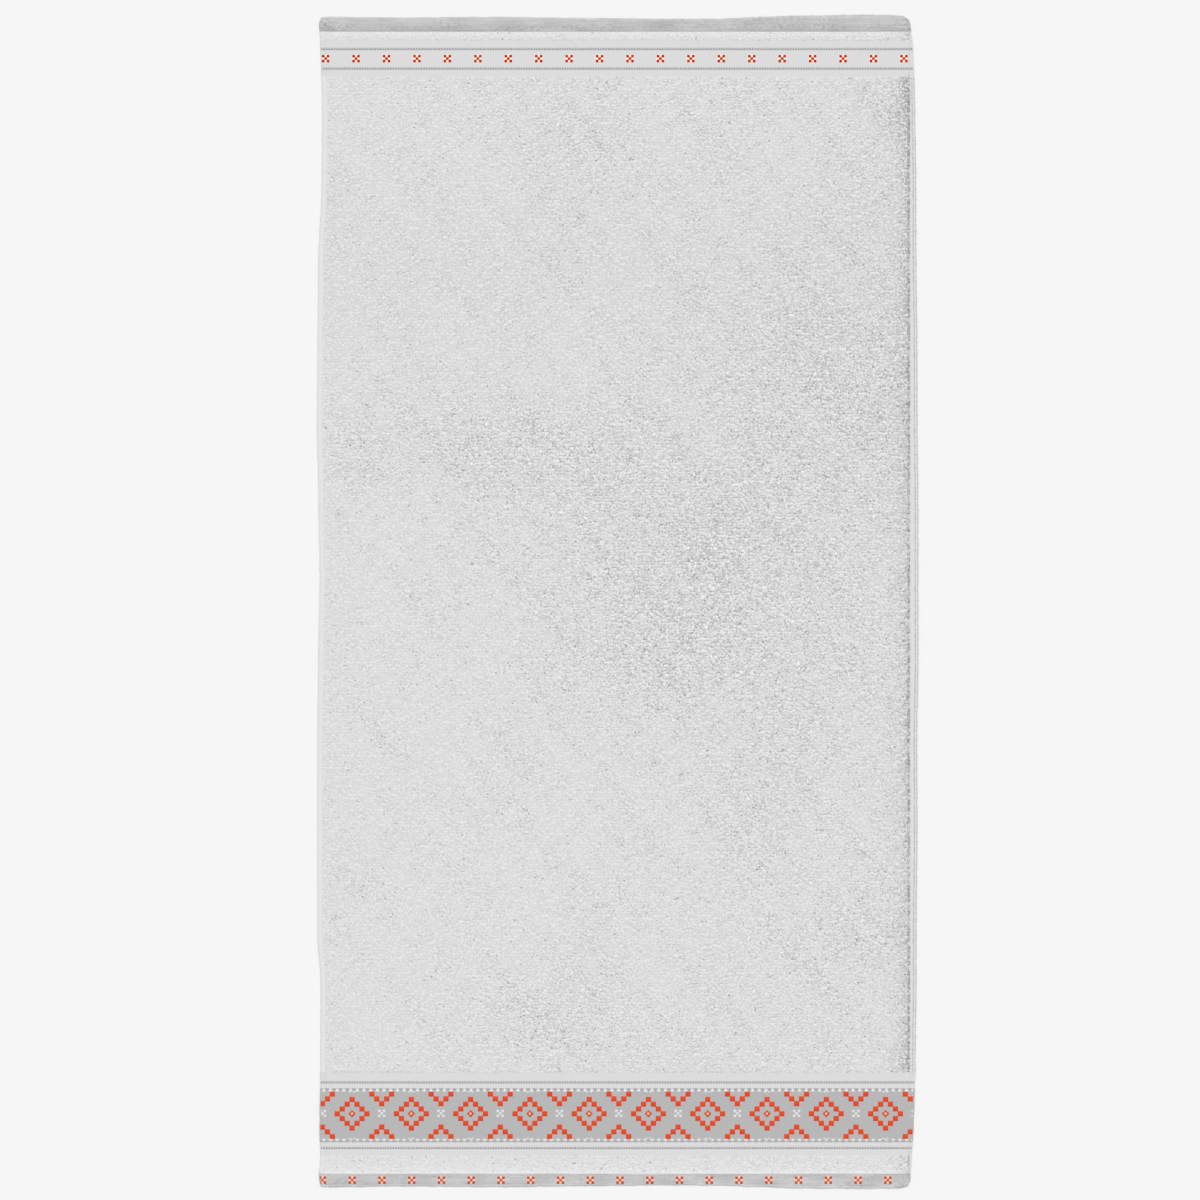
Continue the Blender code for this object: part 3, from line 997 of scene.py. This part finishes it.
def point_tones(model, own, rough, turns, chance):
    """Tones of the loops' points, with painted shade at the root and on the side that lies down the towel,
    and painted light on the side that lies up it.
    """
    roots = np.array([vertex.co.z <= 0.0 for vertex in model.data.vertices])
    sides = np.array([round(2.0 * vertex.co.y / LOOP_WIDTH) for vertex in model.data.vertices])
    side_light_and_shade = np.cos(turns)[:, None] * sides[None, :]
    side_light_and_shade = np.where(side_light_and_shade > 0.0, UP_SIDE_PAINTED_LIGHT, DOWN_SIDE_PAINTED_SHADE) * side_light_and_shade * by_nap(SIDE_PAINTED_LIGHT_AND_SHADE, rough)[:, None]
    depth = by_nap(ROOT_PAINTED_SHADE, rough)[:, None] * roots[None, :]
    uneven = by_nap(UNEVENNESS, rough)[:, None] * chance.normal(0.0, 1.0, (len(own), len(roots)))
    shade = own[:, None] * (1.0 - depth + side_light_and_shade) + uneven
    return np.clip(LEAST_TONE + (1.0 - LEAST_TONE) * shade, 0.0, 1.0).ravel()


# How much of the bake a metre across a copy takes up
BAKE_WIDTH = 8.0


def store_tones(piece, tones, model, shares):
    """Keeps each point's tone, and lays each copy in the bake by its tones and at its own share."""
    store_values(piece.data, "tone", tones)
    sideways = np.tile([BAKE_WIDTH * vertex.co.y for vertex in model.data.vertices], len(shares))
    sideways = np.repeat(shares, len(model.data.vertices)) + sideways
    spread = (tones - tones.min()) / (tones.max() - tones.min())
    layout = np.stack([0.02 + 0.96 * spread, 0.03 + 0.94 * sideways], axis=1)
    store_layout(piece.data, "OFBake", layout[face_corners(piece.data)])


def toned_finish(name, roughness, deep, pale, **constants):
    """Cotton yarn that goes from a deep grey to a pale one with the tone kept on its points, a tone that
    holds painted light and shade as well as the yarn's own.
    """
    finish = Finish(name, roughness, **constants)
    finish.paint("Base Color", finish.mix(finish.stored("tone"), deep, pale))
    return finish.material


def pile_piece(name, rows, low, high, pitch, fullness, seed):
    """The loops of some rows between two lines along the towel, in one mesh."""
    chance = np.random.default_rng(seed)
    across, along = loop_places(rows, low, high, pitch, chance)
    count = len(across)
    rough = roughness_of_nap(across, along) * fullness
    clump = waves([across, along], *CLUMP_WAVES)
    from_right = np.maximum(right_stitches(along) - across, 0.0)
    # Painted shade on the pile beside the stitch ditch
    pile_ditch_shade = fullness * np.exp(-from_right / DITCH_REACH) * value_at(DITCH_SHADE_STRENGTHS, along)
    turns = loop_turns(across, along, rough, chance)
    shaded_stray = chance.uniform(0.0, 1.0, count) < by_nap(STRAY_SHARE, rough) + DITCH_STRAYS * pile_ditch_shade
    from_line = np.minimum(along - low, high - along)
    stand = by_nap(STAND_SHARE, rough) * (0.4 + 0.6 * fullness) * value_at(RISE_FROM_LINES, from_line)
    stand = stand * value_at(RISE_FROM_LEFT, across - left_fold(along)) * chance.uniform(*STANDS, count)
    length = chance.uniform(*LENGTHS, count) * np.where(shaded_stray, STRAY_LENGTH, 1.0)
    width = by_nap(WIDTH_SHARE, rough) * chance.uniform(*WIDTHS, count) * np.where(shaded_stray, STRAY_WIDTH, 1.0)
    lift = np.where(shaded_stray, STRAY_LIFT, chance.uniform(0.0, 1.0, count)) * LIFT + CLUMP_LIFT * (clump + 1.0)
    places = np.stack([across, along, cloth_height(across, along) + lift * stand], axis=1)
    piece = joined_copies(name, loop_model, places, turns, np.stack([length, width, stand], axis=1))
    own = own_tones(along, rough, fullness, clump, shaded_stray, pile_ditch_shade, chance)
    tones = point_tones(loop_model, own, rough, turns, chance)
    store_tones(piece, tones, loop_model, chance.uniform(0.05, 0.95, count))
    piece.data.materials.append(pile_material)
    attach(piece, "root")
    return piece


def pile_zone(names, low, high, row_count, fullness, seed):
    """The loops between two lines along the towel, in one piece for each name."""
    pitch = (high - low) / row_count
    rows = np.array_split(low + (np.arange(row_count) + 0.5) * pitch, len(names))
    return [
        pile_piece(name, own_rows, low, high, pitch, fullness, seed + number)
        for number, (name, own_rows) in enumerate(zip(names, rows))
    ]


bpy.ops.object.select_all(action="DESELECT")
soft_sheen = {"Sheen_Weight": 0.20, "Sheen_Roughness": 0.5}
pile_material = toned_finish("pile_cotton", 0.95, PILE_DEEP, PILE_PALE, **soft_sheen)
loop_model = pile_loop()
body_names = [f"body_pile_{number + 1}" for number in range(BODY_PIECES)]
lower_strip = ("lower_strip_pile",)
upper_strip = ("upper_strip_pile",)
pile_pieces = pile_zone(body_names, BODY_FOOT_LINE, BODY_TOP_LINE, BODY_ROWS, 1.0, 20)
pile_pieces += pile_zone(lower_strip, LOWER_HEM_LINE, LOWER_STRIP_LINE, LOWER_STRIP_ROWS, STRIP_FULLNESS, 31)
pile_pieces += pile_zone(upper_strip, UPPER_STRIP_LINE, UPPER_HEM_LINE, UPPER_STRIP_ROWS, STRIP_FULLNESS, 32)
bpy.data.objects.remove(loop_model)

# Hem stitches.
# Short lockstitches of white cotton thread, sewn by machine through the layers of the turned edges.
# They hold down both end hems and both side hems.

STITCH_LENGTH = 0.0024
STITCH_WIDTH = 0.0006
STITCH_STAND = 0.0003
STITCH_DIP = 0.0002
STITCH_PITCH = 0.0031
UPPER_SEAM = UPPER_HEM_LINE + 0.0028
LOWER_SEAM = LOWER_HEM_LINE - 0.0021
LEFT_SEAM_FROM_FOLD = 0.0062
RIGHT_SEAM_SHIFT = 0.0002
SEAM_LIFT = 0.00008
SEAM_END_INSET = 0.0040
THREAD_DEEP = (0.480, 0.480, 0.480, 1.0)
THREAD_PALE = (0.640, 0.640, 0.640, 1.0)


def thread_stitch():
    """One stitch: a short bar of thread with both of its ends drawn down into the cloth."""
    along_x = (0.0, math.pi / 2.0, 0.0)
    bpy.ops.mesh.primitive_cylinder_add(vertices=4, radius=1.0, depth=1.0, rotation=along_x)
    stitch = bpy.context.active_object
    bpy.ops.object.transform_apply(location=False, rotation=True, scale=False)
    bpy.ops.object.mode_set(mode="EDIT")
    bpy.ops.mesh.select_all(action="SELECT")
    bpy.ops.mesh.subdivide(number_cuts=1)
    bpy.ops.object.mode_set(mode="OBJECT")
    for vertex in stitch.data.vertices:
        at_end = abs(vertex.co.x) > 0.1
        vertex.co.x *= STITCH_LENGTH
        vertex.co.y *= 0.5 * STITCH_WIDTH * (0.7 if at_end else 1.0)
        vertex.co.z *= STITCH_STAND * (0.6 if at_end else 1.0)
        vertex.co.z -= STITCH_DIP if at_end else 0.0
    stitch.data.shade_smooth()
    return stitch


def seam_places():
    """Where the stitches of all four seams lie on the straight cloth, and how each is turned."""
    along = np.arange(LOWER_SEAM + SEAM_END_INSET, UPPER_SEAM - SEAM_END_INSET, STITCH_PITCH)
    seams = [
        np.stack([left_fold(along) + LEFT_SEAM_FROM_FOLD, along]),
        np.stack([right_stitches(along) + RIGHT_SEAM_SHIFT, along]),
    ]
    turns = [np.full(2 * len(along), math.pi / 2.0)]
    for line in (LOWER_SEAM, UPPER_SEAM):
        start = left_fold(line) + SEAM_END_INSET
        across = np.arange(start, right_fold(line) - SEAM_END_INSET, STITCH_PITCH)
        seams.append(np.stack([across, np.full(len(across), line)]))
        turns.append(np.zeros(len(across)))
    return *np.concatenate(seams, axis=1), np.concatenate(turns)


bpy.ops.object.select_all(action="DESELECT")
stitch_model = thread_stitch()
seam_across, seam_along, seam_turns = seam_places()
stitch_count = len(seam_turns)
chance = np.random.default_rng(41)
seam_turns = seam_turns + chance.normal(0.0, 0.10, stitch_count)
stitch_sizes = chance.uniform(0.85, 1.15, (stitch_count, 3))
seam_height = cloth_height(seam_across, seam_along) + SEAM_LIFT
stitch_places = np.stack([seam_across, laid_along(seam_across, seam_along), seam_height], axis=1)
stitches = joined_copies("hem_stitches", stitch_model, stitch_places, seam_turns, stitch_sizes)
# The thread's tone is painted: lighter high up and darker low down where it dips into the cloth, as painted
# light and shade, and lighter towards its ends
painted_thread_shading = [0.5 + 400.0 * vertex.co.z + 60.0 * abs(vertex.co.x) for vertex in stitch_model.data.vertices]
painted_stitch_shading = np.tile(painted_thread_shading, stitch_count)
store_tones(stitches, painted_stitch_shading, stitch_model, chance.uniform(0.05, 0.95, stitch_count))
stitches.data.materials.append(toned_finish("sewing_thread", 0.85, THREAD_DEEP, THREAD_PALE))
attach(stitches, "root")
bpy.data.objects.remove(stitch_model)

# Upper border's figure.
# Small red crosses, each with cream yarn in its gaps and a pale halo, between two dotted grey lines.
# All are woven in with heavier yarn, so that every float stands a little proud of the flat ground.

PAD_STAND = 0.00025
PAD_ROOT = 0.00035
EDGE_MARGIN = 0.0012
LEAST_PAD_SHARE = 0.25
YARNS = {
    # name: colour
    "orange": (0.725, 0.060, 0.009),
    "ring_orange": (0.780, 0.072, 0.013),
    "bright_red": (0.600, 0.012, 0.016),
    "red": (0.430, 0.008, 0.014),
    "cream": (1.000, 0.800, 0.590),
    "halo_cream": (1.000, 0.790, 0.690),
    "pale_cream": (0.950, 0.640, 0.420),
    "grey": (0.410, 0.410, 0.412),
    "tooth_grey": (0.400, 0.400, 0.400),
    "pale": (0.590, 0.590, 0.590),
    "white": (0.740, 0.740, 0.740),
    "brick": (0.650, 0.110, 0.055),
    "muted_red": (0.450, 0.080, 0.064),
    "muted_cream": (0.960, 0.570, 0.420),
    "blush": (0.780, 0.520, 0.440),
}
THREADS_IN_FLOAT = 6.0
THREAD_DEPTH = 0.00015
LOW_FLOAT = 0.6
LOWEST_FLOAT = 0.3
CROSS_PITCH = 0.03622
FIRST_CROSS = -0.34779
CROSS_LINE = 0.64629
CROSS_CELL = 0.00292
CROSS_COUNT = 20
HALO_SIZE = 0.0108
DOT_FILL = 1.22
GAP_FILL = 1.40
DOT_PITCH = 0.0030524
FIRST_DOT = -0.3588
DOT_COUNT = 236
DOT_WIDTH = 0.0010
DOT_LENGTH = 0.0031
UPPER_DOT_LINES = (0.6579, 0.6346)


def square_pad(cells, narrowing):
    """A float of yarn one unit wide and long: a low cushion with sloping sides."""
    bpy.ops.mesh.primitive_grid_add(
        x_subdivisions=cells, y_subdivisions=cells, size=1.0, location=(0.0, 0.0, -PAD_ROOT)
    )
    pad = bpy.context.active_object
    bpy.ops.object.transform_apply(location=True, rotation=False, scale=False)
    bpy.ops.object.mode_set(mode="EDIT")
    bpy.ops.mesh.select_all(action="SELECT")
    bpy.ops.mesh.extrude_region_move(TRANSFORM_OT_translate={"value": (0.0, 0.0, PAD_ROOT + PAD_STAND)})
    bpy.ops.transform.resize(value=(narrowing, narrowing, 1.0), center_override=(0.0, 0.0, 0.0))
    bpy.ops.mesh.select_all(action="SELECT")
    bpy.ops.mesh.normals_make_consistent(inside=False)
    bpy.ops.object.mode_set(mode="OBJECT")
    for vertex in pad.data.vertices:
        at_rim = max(abs(vertex.co.x), abs(vertex.co.y)) > 0.45
        if cells > 1 and vertex.co.z > 0.0 and at_rim:
            vertex.co.z -= 0.4 * PAD_STAND
    pad.data.shade_smooth()
    return pad


def laid_pads(model, across, along, width, length, yarn, turn=0.0, stand=1.0):
    """Copies of a pad on the cloth, in one yarn, cut short where the cloth's side folds end them."""
    across, along = [values.ravel() for values in np.broadcast_arrays(across, along)]
    low = np.maximum(across - 0.5 * width, left_fold(along) + EDGE_MARGIN)
    high = np.minimum(across + 0.5 * width, right_fold(along) - EDGE_MARGIN)
    kept = high - low > LEAST_PAD_SHARE * width
    low, high, along = low[kept], high[kept], along[kept]
    count = len(along)
    sizes = np.stack([high - low, np.full(count, length), np.full(count, stand)], axis=1)
    places = np.stack([0.5 * (low + high), along, np.zeros(count)], axis=1)
    piece = joined_copies("pads", model, places, np.full(count, turn), sizes)
    points = mesh_points(piece.data)
    points[:, 2] += cloth_height(points[:, 0], straight_along(points[:, 0], points[:, 1]))
    piece.data.vertices.foreach_set("co", points.ravel())
    colour = np.tile((*YARNS[yarn], 1.0), len(points))
    piece.data.attributes.new("yarn", "FLOAT_COLOR", "POINT").data.foreach_set("color", colour)
    own = np.tile([tuple(vertex.co.xy) for vertex in model.data.vertices], (count, 1))
    own = own[face_corners(piece.data)]
    tile = list(YARNS).index(yarn)
    layout = np.stack([(tile + 0.5 + 0.8 * own[:, 0]) / len(YARNS), 0.5 + 0.9 * own[:, 1]], axis=1)
    store_layout(piece.data, "OFBake", layout)
    store_layout(piece.data, "threads", own)
    return piece


def figure_finish():
    """Mercerised yarn in close parallel threads, in each float's own colour."""
    finish = Finish("figure_yarn", 0.80, Specular_IOR_Level=0.25)
    own = finish.node("ShaderNodeUVMap", {"uv_map": "threads"}, {})
    fibre = finish.noise(own, (4.0, 14.0, 0.0), 3.0)
    thread = (finish.part(own, "X") * (2.0 * math.pi * THREADS_IN_FLOAT)).sine()
    shade = thread * 0.05 + fibre.eased(0.25, 0.75, 0.90, 1.06)
    finish.paint("Base Color", finish.tint(finish.stored("yarn", "Color"), shade))
    finish.relief(thread * 0.35 + fibre * 0.3 + 0.35, THREAD_DEPTH)
    return finish.material


def joined(name, parts):
    """Joins parts into one finished piece of the figure."""
    bpy.ops.object.select_all(action="DESELECT")
    for part in parts:
        part.select_set(True)
    bpy.context.view_layer.objects.active = parts[0]
    bpy.ops.object.join()
    piece = bpy.context.active_object
    piece.name = name
    piece.data.name = name
    piece.data.materials.append(figure_material)
    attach(piece, "root")
    bpy.ops.object.select_all(action="DESELECT")
    return piece


def dotted_line(line):
    """Grey dots in a row, with lower floats of pale yarn between them."""
    across = FIRST_DOT + DOT_PITCH * np.arange(DOT_COUNT)
    between = across + 0.5 * DOT_PITCH
    gap = DOT_PITCH - DOT_WIDTH
    return [
        laid_pads(small_pad, across, line, DOT_WIDTH, DOT_LENGTH, "grey"),
        laid_pads(small_pad, between, line, gap, DOT_LENGTH, "pale", stand=LOW_FLOAT),
    ]


def crosses(across, along, cell, heart, dots, gaps=None):
    """Crosses of five square dots on a 3 by 3 chart, with lower floats of another yarn in the gaps."""
    parts = []
    for column_number in (-1, 0, 1):
        for row_number in (-1, 0, 1):
            pad_across = across + column_number * cell
            pad_along = along + row_number * cell
            if (column_number + row_number) % 2 == 0:
                size = cell * DOT_FILL
                yarn = heart if column_number == row_number == 0 else dots
                parts.append(laid_pads(small_pad, pad_across, pad_along, size, size, yarn))
            elif gaps is not None:
                size = cell * GAP_FILL
                parts.append(laid_pads(small_pad, pad_across, pad_along, size, size, gaps, stand=LOW_FLOAT))
    return parts


def halos(across, along, size, yarn):
    """The lowest floats of all, which show as a soft square round each cross."""
    return [laid_pads(small_pad, across, along, size, size, yarn, stand=LOWEST_FLOAT)]


figure_material = figure_finish()
small_pad = square_pad(1, 0.86)
cross_across = FIRST_CROSS + CROSS_PITCH * np.arange(CROSS_COUNT)
upper_parts = []
for line in UPPER_DOT_LINES:
    upper_parts += dotted_line(line)
upper_parts += halos(cross_across, CROSS_LINE, HALO_SIZE, "halo_cream")
upper_parts += crosses(cross_across, CROSS_LINE, CROSS_CELL, "bright_red", "red", "cream")
upper_figure = joined("upper_border_figure", upper_parts)

# Lower border's figure.
# A grey band with orange diamonds and half diamonds of square blocks, a small ring in each diamond
# and a white cross between. Rows of white and grey teeth edge the band, with two white marks above
# and below each diamond, and a dotted grey line runs beyond each row.

BLOCK = 0.0058786
BLOCK_ROW = 0.00567
# One repeat, from the top row down. The seventh column runs through the middle of a diamond, and the
# first through the point of the half diamonds, which lie a little off the diamonds' rows.
DIAMOND_CHART = (
    "..o.......o.",
    ".o....o....o",
    "o....o.o....",
    "....o...o...",
    "...o.....o..",
    "....o...o...",
    "o....o.o....",
    ".o....o....o",
    "..o.......o.",
)
MIDDLE_COLUMN = 6
MIDDLE_ROW = 4
DIAMOND_HALF_WIDTH = 3
REPEAT = 12 * BLOCK
REPEAT_COUNT = 12
FIRST_DIAMOND = -0.3869032
BAND_CENTRE = -0.60928
BLOCK_FILL = 1.09
UPPER_HALF_SHIFT = 0.0007
LOWER_HALF_SHIFT = -0.0045
RING_SIZE = 0.0090
RING_YARN = 0.165
RING_HEART = 0.0028
WHITE_CELL = 0.00290
TOOTH_PITCH = 0.007973
FIRST_TOOTH = -0.36597
TOOTH_COUNT = 92
WHITE_TOOTH = (0.0066, 0.0042)
GREY_TOOTH = (0.0050, 0.0032)
MARK = (0.0028, 0.0022)
MARK_SHIFT = 0.0023
TOOTH_ROWS = (
    # middle of the white teeth, middle of the grey teeth, middle of the marks, turn of the white teeth
    (-0.5811, -0.5804, -0.5836, 0.0),
    (-0.6411, -0.6420, -0.6389, math.pi),
)
LOWER_DOT_LINES = (-0.5719, -0.6500)


def tooth_pad():
    """A three-sided float one unit wide and long that points up the towel."""
    bpy.ops.mesh.primitive_cylinder_add(vertices=3, radius=1.0, depth=1.0)
    pad = bpy.context.active_object
    for vertex in pad.data.vertices:
        inset = 0.80 if vertex.co.z > 0.0 else 1.0
        vertex.co.x *= inset * 0.5 / math.cos(math.radians(30.0))
        vertex.co.y = inset * (vertex.co.y - 0.25) / 1.5
        vertex.co.z = PAD_STAND if vertex.co.z > 0.0 else -PAD_ROOT
    pad.data.shade_smooth()
    return pad


def ring_pad():
    """A square ring of yarn, standing on one corner, one unit from corner to corner."""
    bpy.ops.mesh.primitive_torus_add(
        major_segments=4, minor_segments=4, major_radius=0.5 - RING_YARN, minor_radius=RING_YARN
    )
    pad = bpy.context.active_object
    for vertex in pad.data.vertices:
        vertex.co.z *= PAD_STAND / RING_YARN
    pad.data.shade_smooth()
    return pad


def diamonds(middles):
    """The orange blocks of the diamonds and half diamonds, by the chart."""
    parts = []
    for row_number, row in enumerate(DIAMOND_CHART):
        half_shift = UPPER_HALF_SHIFT if row_number < MIDDLE_ROW else LOWER_HALF_SHIFT
        for column_number, mark in enumerate(row):
            if mark == "o":
                steps = column_number - MIDDLE_COLUMN
                along = BAND_CENTRE + BLOCK_ROW * (MIDDLE_ROW - row_number)
                along += half_shift if abs(steps) > DIAMOND_HALF_WIDTH else 0.0
                size = (BLOCK * BLOCK_FILL, BLOCK_ROW * BLOCK_FILL)
                parts.append(laid_pads(block_pad, middles + BLOCK * steps, along, *size, "orange"))
    return parts


block_pad = square_pad(3, 0.97)
tooth = tooth_pad()
ring = ring_pad()
diamond_across = FIRST_DIAMOND + REPEAT * np.arange(REPEAT_COUNT)
tooth_across = FIRST_TOOTH + TOOTH_PITCH * np.arange(TOOTH_COUNT)
between_teeth = tooth_across + 0.5 * TOOTH_PITCH
lower_parts = diamonds(diamond_across)
lower_parts.append(laid_pads(ring, diamond_across, BAND_CENTRE, RING_SIZE, RING_SIZE, "ring_orange"))
lower_parts.append(laid_pads(small_pad, diamond_across, BAND_CENTRE, RING_HEART, RING_HEART, "pale_cream"))
lower_parts += crosses(diamond_across + 0.5 * REPEAT, BAND_CENTRE, WHITE_CELL, "white", "white")
for white_line, grey_line, mark_line, turn in TOOTH_ROWS:
    back = math.pi - turn
    lower_parts.append(laid_pads(tooth, tooth_across, white_line, *WHITE_TOOTH, "white", turn))
    lower_parts.append(laid_pads(tooth, between_teeth, grey_line, *GREY_TOOTH, "tooth_grey", back))
    for shift in (-MARK_SHIFT, MARK_SHIFT):
        lower_parts.append(laid_pads(small_pad, diamond_across + shift, mark_line, *MARK, "white"))
for line in LOWER_DOT_LINES:
    lower_parts += dotted_line(line)
lower_figure = joined("lower_border_figure", lower_parts)
for model in (block_pad, tooth, ring):
    bpy.data.objects.remove(model)

# Lower hem's figure.
# The same small crosses and halos in muted red yarn. They are woven into the heading, so they lie on the hem
# once it is turned under and sewn.

HEM_CROSS_PITCH = 0.0354025
FIRST_HEM_CROSS = -0.35153
HEM_CROSS_COUNT = 21
HEM_CROSS_LINE = -0.6882
HEM_CROSS_CELL = 0.00286
HEM_HALO_SIZE = 0.0104

hem_across = FIRST_HEM_CROSS + HEM_CROSS_PITCH * np.arange(HEM_CROSS_COUNT)
hem_parts = halos(hem_across, HEM_CROSS_LINE, HEM_HALO_SIZE, "blush")
hem_parts += crosses(hem_across, HEM_CROSS_LINE, HEM_CROSS_CELL, "brick", "muted_red", "muted_cream")
hem_figure = joined("lower_hem_figure", hem_parts)
bpy.data.objects.remove(small_pad)

# Floor, light and camera.
# A plain pale floor, a bright surround and one broad soft light from beyond the upper end, seen from
# straight above.

FLOOR_COLOUR = (0.800, 0.800, 0.800, 1.0)
FLOOR_SIZE = 30.0
FLOOR_GAP = 0.0002
SURROUND_BRIGHTNESS = 0.575
SUN_STRENGTH = 2.15
SUN_HEIGHT = 57.0
SUN_FROM = 88.0
SUN_SOFTNESS = 30.0
# The photograph's frame: size of a pixel, pixels on a side, and the pixel that the origin lies on
PIXEL = 0.00119
FRAME_PIXELS = 1200.0
ORIGIN_PIXEL = (617.9, 601.7)
FRAME_WIDTH = FRAME_PIXELS * PIXEL
CAMERA_ACROSS = (0.5 * FRAME_PIXELS - ORIGIN_PIXEL[0]) * PIXEL
CAMERA_ALONG = (ORIGIN_PIXEL[1] - 0.5 * FRAME_PIXELS) * PIXEL
LENS = 90.0
SENSOR = 36.0
MIDDLE_HEIGHT = 0.003

bpy.ops.mesh.primitive_plane_add(size=FLOOR_SIZE, location=(0.0, 0.0, -FLOOR_GAP))
floor = bpy.context.active_object
floor.name = "floor"
floor.data.materials.append(Finish("floor_paper", 0.9, Base_Color=FLOOR_COLOUR).material)

world = bpy.data.worlds.new("surround")
world.use_nodes = True
background = world.node_tree.nodes["Background"]
background.inputs["Strength"].default_value = SURROUND_BRIGHTNESS
background.inputs["Color"].default_value = (1.0, 1.0, 1.0, 1.0)
bpy.context.scene.world = world

bpy.ops.object.light_add(type="SUN", location=(-1.0, 0.0, 1.5))
sun = bpy.context.active_object
sun.data.energy = SUN_STRENGTH
sun.data.angle = math.radians(SUN_SOFTNESS)
sun.rotation_euler = (0.0, math.radians(90.0 - SUN_HEIGHT), math.radians(SUN_FROM))

bpy.ops.object.camera_add(rotation=(0.0, 0.0, 0.0))
camera = bpy.context.active_object
camera.data.lens = LENS
camera.data.sensor_width = SENSOR
camera.location = (CAMERA_ACROSS, CAMERA_ALONG, MIDDLE_HEIGHT + FRAME_WIDTH * LENS / SENSOR)
bpy.context.scene.camera = camera
bpy.context.scene.view_settings.view_transform = "Standard"
